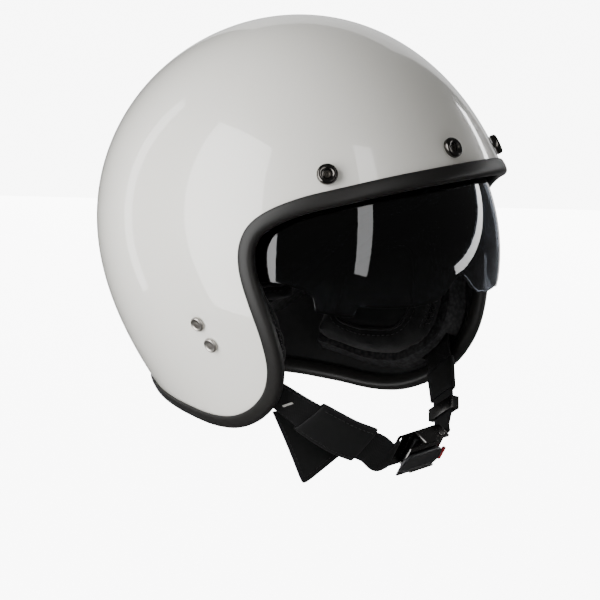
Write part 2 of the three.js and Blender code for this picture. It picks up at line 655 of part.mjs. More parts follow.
const coilTurns = 5;
const coilSteps = 45;
const coilRadius = 2.5;
const wireRadius = 0.45;
const wireSection = Array.from({ length: 6 }, (_, i) => [
  wireRadius * Math.cos(i * Math.PI / 3), wireRadius * Math.sin(i * Math.PI / 3)]);
const coil = swept(Array.from({ length: coilSteps + 1 }, (_, i) => {
  const turn = i / coilSteps * coilTurns * 2 * Math.PI;
  const out = v(Math.cos(turn), Math.sin(turn), 0);
  const place = out.clone().multiplyScalar(coilRadius).setZ(lerp(-4.2, 4.2, i / coilSteps));
  return frameAt(place, out, v(0, 0, 1), out.clone().cross(v(0, 0, 1)));
}), wireSection);
add('buckle_spring', acrossPin(coil), steel(), buckleFrame);

// The toothed tongue: a strip with a saw-tooth row on its outer face.
const toothPitch = 2.5;
const toothOutline = [[21, -1.4], [21, 0.7]];
for (let along = 18.5; along > -3; along -= toothPitch) {
  toothOutline.push([along, 0.7], [along, 1.5]);
}
toothOutline.push([-4, 0.4], [-4, -1.4]);
const tongueShape = new THREE.Shape(toothOutline.map(([x, y]) => new THREE.Vector2(x, y)));
const tongue = new THREE.ExtrudeGeometry(tongueShape, { depth: 20, bevelEnabled: false }).translate(0, 0, -10);
add('ratchet_tongue', welded(tongue), blackPlastic(), buckleFrame);
add('release_tab', block(17.1, 19.4, 8.6, 11, -5, 5), redPlastic(), buckleFrame);

// The slider on the left strap: a metal loop round the webbing.
const sliderFrame = strapFrames(leftRoute, 1, 1, 0.81, 0.83)[0];
const sliderLoop = cut(block(-15.5, 15.5, -3, 3, -4.5, 4.5), block(-13.4, 13.4, -1.9, 1.9, -6, 6));
add('strap_slider', sliderLoop, steel(), sliderFrame);

export default helmet;
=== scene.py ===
import math

import bmesh
import bpy
import numpy as np
from mathutils import Matrix, Vector


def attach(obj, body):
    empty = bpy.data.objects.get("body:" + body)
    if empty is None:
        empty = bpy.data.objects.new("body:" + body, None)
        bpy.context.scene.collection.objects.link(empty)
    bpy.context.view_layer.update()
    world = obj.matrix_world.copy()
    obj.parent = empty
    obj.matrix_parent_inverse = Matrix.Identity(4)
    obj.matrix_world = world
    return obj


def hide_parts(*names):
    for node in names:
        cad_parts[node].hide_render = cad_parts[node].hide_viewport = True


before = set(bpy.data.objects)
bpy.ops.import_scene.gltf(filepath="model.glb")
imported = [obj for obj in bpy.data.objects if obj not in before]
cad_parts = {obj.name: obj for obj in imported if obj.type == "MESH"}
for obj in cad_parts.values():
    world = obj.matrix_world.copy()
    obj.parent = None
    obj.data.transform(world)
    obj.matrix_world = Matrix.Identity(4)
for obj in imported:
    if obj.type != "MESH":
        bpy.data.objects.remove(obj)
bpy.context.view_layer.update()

# ---------------------------------------------------------------------------- camera
# A long lens looks at the wearer's right cheek from a little above the brow.
camera_turn = math.radians(-49.17)
camera_rise = math.radians(10.3)
camera_distance = 2.968
to_camera = Vector((
    math.sin(camera_turn) * math.cos(camera_rise),
    -math.cos(camera_turn) * math.cos(camera_rise),
    math.sin(camera_rise)))
camera_right = Vector((math.cos(camera_turn), math.sin(camera_turn), 0))
camera_up = to_camera.cross(camera_right)
camera_target = -0.00404 * camera_right - 0.04733 * camera_up
camera_data = bpy.data.cameras.new("camera")
camera_data.lens = 270.1
camera_data.sensor_width = 36
camera = bpy.data.objects.new("camera", camera_data)
camera.matrix_world = Matrix.Translation(camera_target + to_camera * camera_distance) @ Matrix(
    (camera_right, camera_up, to_camera)).transposed().to_4x4()
bpy.context.collection.objects.link(camera)
bpy.context.scene.camera = camera

# ---------------------------------------------------------------------------- studio
# A pale floor well below the helmet, a white surround, and softboxes: a large one on the wearer's
# right, a fill on the left and above, and strips and a panel that draw streaks in the gloss.
BACKDROP_GLOW = 8
bpy.ops.object.select_all(action="DESELECT")
bpy.ops.mesh.primitive_plane_add(size=60, location=(0, 0, -0.34))
floor = bpy.context.object
floor.name = "floor"
floor.visible_glossy = False
floor_paint = bpy.data.materials.new("floor_paint")
floor_paint.use_nodes = True
floor_shader = floor_paint.node_tree.nodes["Principled BSDF"]
floor_shader.inputs["Base Color"].default_value = (0.93, 0.93, 0.93, 1)
floor_shader.inputs["Roughness"].default_value = 0.9
floor_shader.inputs["Emission Color"].default_value = (1, 1, 1, 1)
floor_path = floor_paint.node_tree.nodes.new("ShaderNodeLightPath")
floor_glow = floor_paint.node_tree.nodes.new("ShaderNodeMath")
floor_glow.operation = "MULTIPLY"
floor_glow.inputs[1].default_value = BACKDROP_GLOW
floor_paint.node_tree.links.new(floor_path.outputs["Is Camera Ray"], floor_glow.inputs[0])
floor_paint.node_tree.links.new(floor_glow.outputs[0], floor_shader.inputs["Emission Strength"])
floor.data.materials.append(floor_paint)

# The surround is white to look at, soft where it lights, and dark where gloss mirrors it.
surround = bpy.data.worlds.new("surround")
surround.use_nodes = True
sky_nodes = surround.node_tree.nodes
sky_links = surround.node_tree.links
sky_nodes.clear()
sky_path = sky_nodes.new("ShaderNodeLightPath")
sky_out = sky_nodes.new("ShaderNodeOutputWorld")
sky_so_far = sky_nodes.new("ShaderNodeBackground")
sky_so_far.inputs["Color"].default_value = (1, 0.99, 0.97, 1)
sky_so_far.inputs["Strength"].default_value = 0.2
for ray, strength in (("Is Glossy Ray", 0.10), ("Is Camera Ray", BACKDROP_GLOW)):
    sky_part = sky_nodes.new("ShaderNodeBackground")
    sky_part.inputs["Strength"].default_value = strength
    sky_mix = sky_nodes.new("ShaderNodeMixShader")
    sky_links.new(sky_path.outputs[ray], sky_mix.inputs["Fac"])
    sky_links.new(sky_so_far.outputs[0], sky_mix.inputs[1])
    sky_links.new(sky_part.outputs[0], sky_mix.inputs[2])
    sky_so_far = sky_mix
sky_links.new(sky_so_far.outputs[0], sky_out.inputs["Surface"])
bpy.context.scene.world = surround


def softbox(name, turn, rise, distance, width, height, power, lean=0, shines=True, mirrored=True):
    """An area light, turn degrees from the brow's direction towards the wearer's right.

    Its top leans towards the wearer's left. One that only shows as a mirrored streak doesn't shine.
    """
    lamp = bpy.data.lights.new(name, "AREA")
    lamp.shape = "RECTANGLE"
    lamp.size = width
    lamp.size_y = height
    lamp.energy = power
    around = math.radians(turn)
    aim = Vector((-math.sin(around), -math.cos(around), 0)) * distance
    aim.z = rise
    holder = bpy.data.objects.new(name, lamp)
    facing = aim.to_track_quat("Z", "Y").to_matrix().to_4x4()
    leaning = Matrix.Rotation(-math.radians(lean), 4, "Z")
    holder.matrix_world = Matrix.Translation(aim) @ facing @ leaning
    holder.visible_diffuse = shines
    holder.visible_glossy = mirrored
    bpy.context.collection.objects.link(holder)


softbox("softbox_right", 104, 0.25, 1.7, 1.25, 2.9, 92)
softbox("softbox_strip_back", 163, 0.2, 1.8, 0.22, 2.2, 7)
softbox("softbox_strip_front", 22.6, 0.9, 2.1, 0.42, 2.7, 18, lean=13.4, shines=False)
softbox("softbox_strip_left", -72, 0.1, 1.9, 0.16, 2.2, 11, lean=65, shines=False)
softbox("softbox_panel_left", -125, 0.2, 2.0, 1.2, 2.0, 7, shines=False)
softbox("softbox_fill_left", -122, 0.5, 2.0, 1.6, 2.2, 42, mirrored=False)
softbox("softbox_top", 20, 2.2, 0.6, 1.6, 1.6, 3, mirrored=False)

# ---------------------------------------------------------------------------- outer shell
# The moulded thermoplastic shell, lacquered gloss white. Its level sections are ellipses whose
# length, width and centre change with height, so the whole outside is one smooth formula.
CROWN = 0.1406
HALF_WIDTH = 0.127
HALF_LENGTH = 0.1502
WIDEST = 0.0072
LONGEST = -0.0252
SHELL_WALL = 0.0035
TRIM_COVER = 0.0075
POLE = np.array([0, 0.77, 0.64]) / np.hypot(0.77, 0.64)
# Right half of the painted edge, from the middle of the brow to the middle of the nape.
PAINTED_EDGE = [
    (0, -0.127, 0.055), (-0.026, -0.125, 0.0545), (-0.052, -0.116, 0.052), (-0.080, -0.098, 0.046),
    (-0.097, -0.081, 0.041), (-0.109, -0.065, 0.0335), (-0.117, -0.052, 0.024), (-0.120, -0.046, 0.009),
    (-0.120, -0.047, -0.008), (-0.117, -0.052, -0.027), (-0.110, -0.057, -0.050),
    (-0.103, -0.0575, -0.072), (-0.097, -0.049, -0.089), (-0.092, -0.033, -0.102),
    (-0.087, -0.012, -0.1105), (-0.084, 0.010, -0.1125), (-0.080, 0.034, -0.1095),
    (-0.070, 0.061, -0.1055), (-0.050, 0.092, -0.101), (-0.025, 0.111, -0.0985), (0, 0.117, -0.098)]


def bulge(z, centre, tuck):
    t = (z - centre) / (CROWN - centre)
    return np.where(t > 0, np.sqrt(np.clip(1 - t * t, 1e-12, None)), 1 - 0.5 * t * t + tuck * t ** 3)


def shell_field(points):
    x, y, z = points[..., 0], points[..., 1], points[..., 2]
    middle = -0.0011 + 0.125 * z - 0.61 * z * z
    inside = (x / (HALF_WIDTH * bulge(z, WIDEST, -0.12))) ** 2
    inside += ((y - middle) / (HALF_LENGTH * bulge(z, LONGEST, -0.03))) ** 2 - 1
    return np.where(z >= CROWN, 1.0, inside)


def on_shell(points):
    """Points pushed straight out from the origin until they lie on the shell's outer face."""
    ray = points / np.linalg.norm(points, axis=-1, keepdims=True)
    near = np.full(ray.shape[:-1], 0.02)
    far = np.full(ray.shape[:-1], 0.26)
    for _ in range(44):
        middle = (near + far) / 2
        inside = shell_field(ray * middle[..., None]) < 0
        near = np.where(inside, middle, near)
        far = np.where(inside, far, middle)
    return ray * near[..., None]


def shell_normal(points):
    step = 2e-5
    pulled = points * 0.9997
    slope = np.stack([
        shell_field(pulled + step * axis) - shell_field(pulled - step * axis)
        for axis in np.eye(3)], axis=-1)
    return slope / np.linalg.norm(slope, axis=-1, keepdims=True)


def below_shell(points, depth):
    return points - shell_normal(points) * np.asarray(depth)[..., None]


def resampled(points, count):
    """A closed loop at equal steps along its length."""
    closed = np.vstack([points, points[:1]])
    run = np.concatenate([[0], np.cumsum(np.linalg.norm(np.diff(closed, axis=0), axis=1))])
    spots = np.linspace(0, run[-1], count, endpoint=False)
    return np.stack([np.interp(spots, run, closed[:, k]) for k in range(3)], axis=1)


def smooth_loop(half, count, softness=0.007):
    """The mirrored half outline as one smooth loop lying on the shell."""
    right = np.array(half)
    loop = np.vstack([right, right[-2:0:-1] * [-1, 1, 1]])
    dense = resampled(loop, 1200)
    length = np.linalg.norm(np.roll(dense, -1, axis=0) - dense, axis=1).sum()
    waves = np.fft.rfftfreq(len(dense), d=length / len(dense))
    damped = np.fft.rfft(dense, axis=0) * np.exp(-2 * (math.pi * waves * softness) ** 2)[:, None]
    return on_shell(resampled(np.fft.irfft(damped, n=len(dense), axis=0), count))


def loop_frames(loop):
    """For each point of a loop on the shell: along it, out of the shell, and towards the opening."""
    along = np.roll(loop, -1, axis=0) - np.roll(loop, 1, axis=0)
    along /= np.linalg.norm(along, axis=1, keepdims=True)
    out = shell_normal(loop)
    away = np.cross(along, out)
    away /= np.linalg.norm(away, axis=1, keepdims=True)
    away *= -np.sign((away @ POLE).mean())
    return along, out, away


def pushed_loop(loop, distance):
    _, _, away = loop_frames(loop)
    return on_shell(loop + away * distance)


def rings_to(loop, rings):
    """Points from the pole (ring 0) to the loop, along great circles, pushed on to the shell."""
    ends = loop / np.linalg.norm(loop, axis=1, keepdims=True)
    angle = np.arccos(np.clip(ends @ POLE, -1, 1))[None, :, None]
    part = np.linspace(0, 1, rings + 1)[:, None, None]
    rays = (POLE * np.sin((1 - part) * angle) + ends * np.sin(part * angle)) / np.sin(angle)
    return on_shell(rays)


def new_piece(name, points, faces):
    mesh = bpy.data.meshes.new(name)
    mesh.from_pydata([tuple(p) for p in points], [], faces)
    mesh.validate()
    mesh.shade_smooth()
    piece = bpy.data.objects.new(name, mesh)
    bpy.context.collection.objects.link(piece)
    return piece


def face_outwards(piece):
    shape = bmesh.new()
    shape.from_mesh(piece.data)
    bmesh.ops.recalc_face_normals(shape, faces=shape.faces)
    if shape.calc_volume(signed=True) < 0:
        bmesh.ops.reverse_faces(shape, faces=shape.faces)
    shape.to_mesh(piece.data)
    shape.free()


def domed_layer(name, loop, rings, outer_depth, inner_depth):
    """A closed layer of the helmet: outer face, inner face and the rim between them."""
    grid = rings_to(loop, rings)
    size = len(loop)
    faces = []
    layers = []
    for depth in (outer_depth, inner_depth):
        face = below_shell(grid, np.broadcast_to(depth, grid.shape[:-1]))
        layers.append(np.vstack([face[0, :1], face[1:].reshape(-1, 3)]))
    count = len(layers[0])

    def spot(layer, ring, step):
        return layer * count + (0 if ring == 0 else 1 + (ring - 1) * size + step % size)

    for step in range(size):
        for layer in (0, 1):
            faces.append([spot(layer, 0, 0), spot(layer, 1, step), spot(layer, 1, step + 1)])
            for ring in range(1, rings):
                faces.append([
                    spot(layer, ring, step), spot(layer, ring + 1, step),
                    spot(layer, ring + 1, step + 1), spot(layer, ring, step + 1)])
        faces.append([
            spot(0, rings, step), spot(1, rings, step), spot(1, rings, step + 1), spot(0, rings, step + 1)])
    piece = new_piece(name, np.vstack(layers), faces)
    face_outwards(piece)
    # The second slot is the unpainted inner face: its faces have all their corners in the inner layer.
    for face in piece.data.polygons:
        face.material_index = int(min(face.vertices) >= count)
    return piece


painted_edge = smooth_loop(PAINTED_EDGE, 288)
shell_edge = pushed_loop(painted_edge, TRIM_COVER)
shell = domed_layer("shell_lacquered", shell_edge, 84, 0, SHELL_WALL)
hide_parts("outer_shell")
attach(shell, "helmet")


def new_material(name, color, roughness, metallic=0.0):
    material = bpy.data.materials.new(name)
    material.use_nodes = True
    shader = material.node_tree.nodes["Principled BSDF"]
    shader.inputs["Base Color"].default_value = (*color, 1)
    shader.inputs["Roughness"].default_value = roughness
    shader.inputs["Metallic"].default_value = metallic
    return material, material.node_tree.nodes, material.node_tree.links, shader


def surface_grain_group():
    """Noise at two sizes: a colour mixed between two tones, a roughness and a bump height."""
    group = bpy.data.node_groups.new("surface_grain", "ShaderNodeTree")
    face = group.interface
    for name, kind, value in (
            ("Light", "NodeSocketColor", (1, 1, 1, 1)), ("Dark", "NodeSocketColor", (0, 0, 0, 1)),
            ("Scale", "NodeSocketFloat", 100.0), ("Blotch Scale", "NodeSocketFloat", 10.0),
            ("Roughness", "NodeSocketFloat", 0.5), ("Roughness Change", "NodeSocketFloat", 0.1)):
        face.new_socket(name, in_out="INPUT", socket_type=kind).default_value = value
    face.new_socket("Color", in_out="OUTPUT", socket_type="NodeSocketColor")
    face.new_socket("Roughness", in_out="OUTPUT", socket_type="NodeSocketFloat")
    face.new_socket("Height", in_out="OUTPUT", socket_type="NodeSocketFloat")
    nodes, links = group.nodes, group.links
    given = nodes.new("NodeGroupInput")
    result = nodes.new("NodeGroupOutput")
    place = nodes.new("ShaderNodeTexCoord")
    fine = nodes.new("ShaderNodeTexNoise")
    fine.inputs["Detail"].default_value = 4
    blotch = nodes.new("ShaderNodeTexNoise")
    blotch.inputs["Detail"].default_value = 3
    links.new(place.outputs["Object"], fine.inputs["Vector"])
    links.new(place.outputs["Object"], blotch.inputs["Vector"])
    links.new(given.outputs["Scale"], fine.inputs["Scale"])
    links.new(given.outputs["Blotch Scale"], blotch.inputs["Scale"])
    both = nodes.new("ShaderNodeMath")
    both.operation = "MULTIPLY_ADD"
    both.inputs[1].default_value = 0.5
    halved = nodes.new("ShaderNodeMath")
    halved.operation = "MULTIPLY"
    halved.inputs[1].default_value = 0.5
    links.new(blotch.outputs["Fac"], halved.inputs[0])
    links.new(fine.outputs["Fac"], both.inputs[0])
    links.new(halved.outputs[0], both.inputs[2])
    tone = nodes.new("ShaderNodeMix")
    tone.data_type = "RGBA"
    links.new(both.outputs[0], tone.inputs["Factor"])
    links.new(given.outputs["Dark"], tone.inputs["A"])
    links.new(given.outputs["Light"], tone.inputs["B"])
    centred = nodes.new("ShaderNodeMath")
    centred.operation = "SUBTRACT"
    centred.inputs[1].default_value = 0.5
    links.new(both.outputs[0], centred.inputs[0])
    rough = nodes.new("ShaderNodeMath")
    rough.operation = "MULTIPLY_ADD"
    links.new(centred.outputs[0], rough.inputs[0])
    links.new(given.outputs["Roughness Change"], rough.inputs[1])
    links.new(given.outputs["Roughness"], rough.inputs[2])
    links.new(tone.outputs["Result"], result.inputs["Color"])
    links.new(rough.outputs[0], result.inputs["Roughness"])
    links.new(fine.outputs["Fac"], result.inputs["Height"])
    return group


surface_grain = surface_grain_group()


def grained(name, light, dark, scale, roughness, change, bump, depth, blotch=12.0, metallic=0.0):
    """A material whose colour, roughness and bump come from the surface grain group."""
    material, nodes, links, shader = new_material(name, light, roughness, metallic)
    grain = nodes.new("ShaderNodeGroup")
    grain.node_tree = surface_grain
    grain.inputs["Light"].default_value = (*light, 1)
    grain.inputs["Dark"].default_value = (*dark, 1)
    grain.inputs["Scale"].default_value = scale
    grain.inputs["Blotch Scale"].default_value = blotch
    grain.inputs["Roughness"].default_value = roughness
    grain.inputs["Roughness Change"].default_value = change
    relief = nodes.new("ShaderNodeBump")
    relief.inputs["Strength"].default_value = bump
    relief.inputs["Distance"].default_value = depth
    links.new(grain.outputs["Color"], shader.inputs["Base Color"])
    links.new(grain.outputs["Roughness"], shader.inputs["Roughness"])
    links.new(grain.outputs["Height"], relief.inputs["Height"])
    links.new(relief.outputs["Normal"], shader.inputs["Normal"])
    return material, nodes, links, shader


lacquer, _, _, lacquer_shader = grained(
    "white_lacquer", (0.87, 0.853, 0.795), (0.845, 0.828, 0.77), 320, 0.3, 0.06, 0.05, 0.0002)
lacquer_shader.inputs["Coat Weight"].default_value = 1
lacquer_shader.inputs["Coat Roughness"].default_value = 0.03
lacquer_shader.inputs["Coat IOR"].default_value = 1.5
shell.data.materials.append(lacquer)
raw_shell, _, _, _ = grained(
    "unpainted_inner_face", (0.035, 0.035, 0.036), (0.022, 0.022, 0.023), 500, 0.6, 0.15, 0.2, 0.0003)
shell.data.materials.append(raw_shell)

# ---------------------------------------------------------------------------- edge trim
# A soft black rubber channel pressed over the shell's raw edge and glued, with a rounded bead.
TRIM_BEAD = 0.0034
TRIM_SLOT = SHELL_WALL + 0.0012
trim_corners = [
    (-TRIM_COVER, 0.00025), (-TRIM_COVER - 0.0001, 0.0009), (-TRIM_COVER + 0.0007, 0.0017),
    (-0.0045, 0.0023), (-0.0005, 0.0026), (0.0017, 0.0021), (0.0030, 0.0004), (TRIM_BEAD, -0.0018),
    (0.0031, -0.0040), (0.0018, -0.0057), (0, -0.0064), (-0.0030, -0.0066),
    (-TRIM_COVER + 0.0020, -0.0062), (-TRIM_COVER + 0.0012, -0.0055), (-TRIM_COVER + 0.0015, -TRIM_SLOT),
    (0.0003, -TRIM_SLOT), (0.0003, 0.00025)]


def swept_loop(name, loop, section):
    """A section of (towards the opening, outward) points carried round a loop on the shell."""
    _, out, away = loop_frames(loop)
    across = np.array(section)
    points = (loop[:, None] + away[:, None] * across[None, :, :1] + out[:, None] * across[None, :, 1:])
    size, count = len(section), len(loop)
    faces = [
        [i * size + j, (i + 1) % count * size + j,
         (i + 1) % count * size + (j + 1) % size, i * size + (j + 1) % size]
        for i in range(count) for j in range(size)]
    piece = new_piece(name, points.reshape(-1, 3), faces)
    face_outwards(piece)
    return piece


def apply_all_modifiers(piece):
    bpy.ops.object.select_all(action="DESELECT")
    bpy.context.view_layer.objects.active = piece
    piece.select_set(True)
    for modifier in list(piece.modifiers):
        bpy.ops.object.modifier_apply(modifier=modifier.name)


trim = swept_loop("trim_channel", shell_edge, trim_corners)
rounding = trim.modifiers.new("rounding", "SUBSURF")
rounding.levels = rounding.render_levels = 1
apply_all_modifiers(trim)
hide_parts("edge_trim")
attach(trim, "helmet")
trim_rubber, _, _, trim_shader = grained(
    "satin_rubber", (0.017, 0.016, 0.015), (0.010, 0.0095, 0.009), 900, 0.47, 0.12, 0.2, 0.0002)
trim_shader.inputs["Specular IOR Level"].default_value = 0.32
trim.data.materials.append(trim_rubber)

# ---------------------------------------------------------------------------- sun visor
# One smoke-tinted polycarbonate moulding that swings about two screws inside the shell. Its
# form is turned about the swing axis; it has a nose notch and a finger tab near each end.
VISOR_PIVOT = (-0.0064, -0.0135)
VISOR_REACH = 0.1245
VISOR_SPAN = 0.1133
VISOR_THICK = 0.0022
VISOR_FULL = 2.15
# Distance from the middle along the profile (0 to 1), lower and upper edge in degrees.
VISOR_EDGES = [
    (0, -1.2, 38), (0.018, -1.8, 38), (0.035, -3.2, 38), (0.067, -6.2, 38), (0.1, -8, 38),
    (0.15, -8.9, 38), (0.2, -9.3, 38), (0.3, -9.6, 38), (0.412, -9.7, 37.4), (0.421, -10.6, 37.3),
    (0.427, -13.2, 37.2), (0.438, -14.1, 37.1), (0.556, -14.5, 35.5), (0.568, -13.8, 35.4),
    (0.576, -10.4, 35.2), (0.584, -7.6, 35), (0.62, -4.8, 34.2), (0.7, -2.4, 31.5),
    (0.76, -2, 30.8), (0.82, -6, 34), (0.88, -14.5, 42.5), (0.92, -28, 56), (0.945, -45, 73)]


def visor_point(side, part, angle, shrink):
    turn = part * math.pi / 2
    power = 2 / VISOR_FULL
    x = (VISOR_SPAN - shrink) * np.sin(turn) ** power
    r = (VISOR_REACH - shrink) * np.cos(turn) ** power
    return np.stack([
        side * x, VISOR_PIVOT[0] - r * np.cos(angle), VISOR_PIVOT[1] + r * np.sin(angle)], axis=-1)


def visor_shield(rows=40):
    marks = np.array(VISOR_EDGES)
    parts = np.unique(np.concatenate([np.linspace(0, 0.945, 110), marks[:, 0]]))
    low = np.radians(np.interp(parts, marks[:, 0], marks[:, 1]))
    high = np.radians(np.interp(parts, marks[:, 0], marks[:, 2]))
    part = np.concatenate([-parts[:0:-1], parts])
    low = np.concatenate([low[:0:-1], low])
    high = np.concatenate([high[:0:-1], high])
    down = np.linspace(0, 1, rows)
    angle = low[:, None] + (high - low)[:, None] * down
    side = np.where(part < 0, -1.0, 1.0)[:, None]
    spread = np.broadcast_to(np.abs(part)[:, None], angle.shape)
    layers = [visor_point(side, spread, angle, shrink) for shrink in (0, VISOR_THICK)]
    columns = len(part)
    faces = []

    def spot(layer, i, j):
        return (layer * columns + i) * rows + j

    for layer in (0, 1):
        for i in range(columns - 1):
            for j in range(rows - 1):
                faces.append([spot(layer, i, j), spot(layer, i + 1, j),
                              spot(layer, i + 1, j + 1), spot(layer, i, j + 1)])
    for i in range(columns - 1):
        for j in (0, rows - 1):
            faces.append([spot(0, i, j), spot(0, i + 1, j), spot(1, i + 1, j), spot(1, i, j)])
    for j in range(rows - 1):
        for i in (0, columns - 1):
            faces.append([spot(0, i, j), spot(0, i, j + 1), spot(1, i, j + 1), spot(1, i, j)])
    piece = new_piece("visor_smoke", np.vstack([layer.reshape(-1, 3) for layer in layers]), faces)
    face_outwards(piece)
    return piece


visor = visor_shield()
edge_round = visor.modifiers.new("edge_round", "BEVEL")
edge_round.width = 0.0006
edge_round.segments = 2
edge_round.limit_method = "ANGLE"
edge_round.angle_limit = math.radians(50)
apply_all_modifiers(visor)
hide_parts("visor_lens")
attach(visor, "visor")
smoke, _, _, smoke_shader = new_material("smoke_polycarbonate", (0.062, 0.068, 0.08), 0.02)
smoke_shader.inputs["Transmission Weight"].default_value = 1
smoke_shader.inputs["IOR"].default_value = 1.5
visor.data.materials.append(smoke)


def in_edit_mode(piece):
    bpy.ops.object.select_all(action="DESELECT")
    bpy.context.view_layer.objects.active = piece
    piece.select_set(True)
    bpy.ops.object.mode_set(mode="EDIT")
    bpy.ops.mesh.select_all(action="SELECT")


def rounded_corners(piece, width, angle=35, segments=2):
    corner = piece.modifiers.new("rounded_corners", "BEVEL")
    corner.width = width
    corner.segments = segments
    corner.limit_method = "ANGLE"
    corner.angle_limit = math.radians(angle)
    apply_all_modifiers(piece)
    bpy.ops.object.shade_smooth_by_angle(angle=math.radians(35))


def turned_part(name, profile, place, sides=56, rounding=0.00012):
    """A (radius, height) profile in millimetres, spun about its axis and set in its place."""
    outline = np.array(profile) / 1000
    piece = new_piece(name, [(radius, 0, height) for radius, height in outline], [])
    piece.data.edges.add(len(outline) - 1)
    for i, edge in enumerate(piece.data.edges):
        edge.vertices = (i, i + 1)
    in_edit_mode(piece)
    bpy.ops.mesh.spin(steps=sides, angle=2 * math.pi, center=(0, 0, 0), axis=(0, 0, 1))
    bpy.ops.mesh.select_all(action="SELECT")
    bpy.ops.mesh.remove_doubles(threshold=2e-6)
    bpy.ops.mesh.normals_make_consistent(inside=False)
    bpy.ops.object.mode_set(mode="OBJECT")
    rounded_corners(piece, rounding)
    piece.data.transform(place)
    return piece


def seated(origin, out, hint=(0, 0, 1)):
    """The place of a part that stands on a face: its axis along out, its x towards hint."""
    axis = Vector(out).normalized()
    across = (Vector(hint) - axis * axis.dot(Vector(hint))).normalized()
    turn = Matrix((across, axis.cross(across), axis)).transposed().to_4x4()
    return Matrix.Translation(Vector(origin)) @ turn


HUB_INNER = 111.3
SIDES = {"right": -1, "left": 1}
for side_name, side in SIDES.items():
    hub_place = seated((0, *VISOR_PIVOT), (side, 0, 0))
    hub = turned_part(f"visor_hub_{side_name}", [
        (3.4, HUB_INNER), (14, HUB_INNER), (14, HUB_INNER + 2.2), (3.4, HUB_INNER + 2.2),
        (3.4, HUB_INNER)], hub_place, 48, 0.0003)
    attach(hub, "visor")
    hub.data.materials.append(smoke)


def dressed(node, material):
    """Gives a machined node that keeps its own shape its finish."""
    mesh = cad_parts[node].data
    mesh.materials.clear()
    mesh.materials.append(material)


black_plastic, _, _, _ = grained(
    "moulded_black_plastic", (0.022, 0.022, 0.024), (0.014, 0.014, 0.015), 1400, 0.38, 0.14, 0.2, 0.0001)
bright_steel, _, _, _ = grained(
    "plated_steel", (0.52, 0.51, 0.49), (0.40, 0.39, 0.375), 700, 0.26, 0.12, 0.08, 0.0001, metallic=1)
washer_rubber, _, _, _ = grained(
    "washer_rubber", (0.03, 0.03, 0.03), (0.02, 0.02, 0.02), 900, 0.7, 0.1, 0.2, 0.0001)
for side_name in SIDES:
    dressed(f"visor_pivot_base_{side_name}", black_plastic)
    dressed(f"visor_friction_washer_{side_name}", washer_rubber)
    dressed(f"visor_pivot_screw_{side_name}", bright_steel)

# ---------------------------------------------------------------------------- brow snaps
# Three press-stud sockets for a peak or a face shield: a turned brass ring in black chrome, a
# split wire spring in its groove, and a tubular rivet through the shell on to a washer.
SNAP_PLACES = {"centre": (0, 0.0644), "right": (-0.0838, 0.0541), "left": (0.0838, 0.0541)}


def section_of_shell(z):
    """Middle, half length and half width of the shell's level section."""
    middle = -0.0011 + 0.125 * z - 0.61 * z * z
    return middle, HALF_LENGTH * bulge(z, LONGEST, -0.03), HALF_WIDTH * bulge(z, WIDEST, -0.12)


def front_of_shell(x, z):
    middle, length, width = section_of_shell(np.asarray(z))
    return np.array([x, middle - length * np.sqrt(1 - (x / width) ** 2), z])


black_chrome, _, _, _ = grained(
    "black_chrome", (0.115, 0.108, 0.10), (0.07, 0.066, 0.062), 500, 0.16, 0.08, 0.05, 0.0001, metallic=1)
dull_bronze, _, _, _ = grained(
    "dull_bronze", (0.075, 0.068, 0.058), (0.035, 0.032, 0.028), 900, 0.42, 0.2, 0.2, 0.0001, metallic=1)
for place_name, (x, z) in SNAP_PLACES.items():
    point = front_of_shell(x, z)
    snap_place = seated(point, shell_normal(point))
    socket = turned_part(f"snap_ring_{place_name}", [
        (2, 0.5), (6.3, 0.5), (6.85, 1.1), (6.85, 3.1), (6.45, 4.2), (5.6, 4.8), (4.5, 4.8),
        (3.6, 4.4), (3.3, 3.9), (4.4, 3.5), (4.4, 2.6), (3.9, 1.8), (2, 1.8), (2, 0.5)], snap_place)
    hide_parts(f"snap_socket_{place_name}")
    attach(socket, "helmet")
    socket.data.materials.append(black_chrome)
    stud = turned_part(f"snap_stud_{place_name}", [
        (0, 1.5), (0.8, 1.5), (1.1, 2.5), (1.7, 2.75), (2.3, 2.6), (2.6, 2.2), (1.6, 2.1),
        (1.6, -5.9), (3.2, -5.9), (3.4, -6.1), (3.4, -6.5), (3.1, -6.6), (0, -6.6)], snap_place, 40)
    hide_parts(f"snap_rivet_{place_name}")
    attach(stud, "helmet")
    stud.data.materials.append(dull_bronze)
    dressed(f"snap_spring_{place_name}", bright_steel)
    dressed(f"snap_washer_{place_name}", bright_steel)

# ---------------------------------------------------------------------------- strap rivets
# Two dished rivets a side, in aged nickel, hold a steel plate and the end of the strap inside
# the shell. Their heads have a raised rim round a shallow dish.
RIVET_PLACES = {"upper": (-0.0106, -0.0459), "lower": (-0.0175, -0.0595)}


def side_of_shell(side, y, z):
    middle, length, width = section_of_shell(np.asarray(z))
    across = side * width * np.sqrt(1 - ((y - middle) / length) ** 2)
    return np.stack(np.broadcast_arrays(across, y, z), axis=-1)


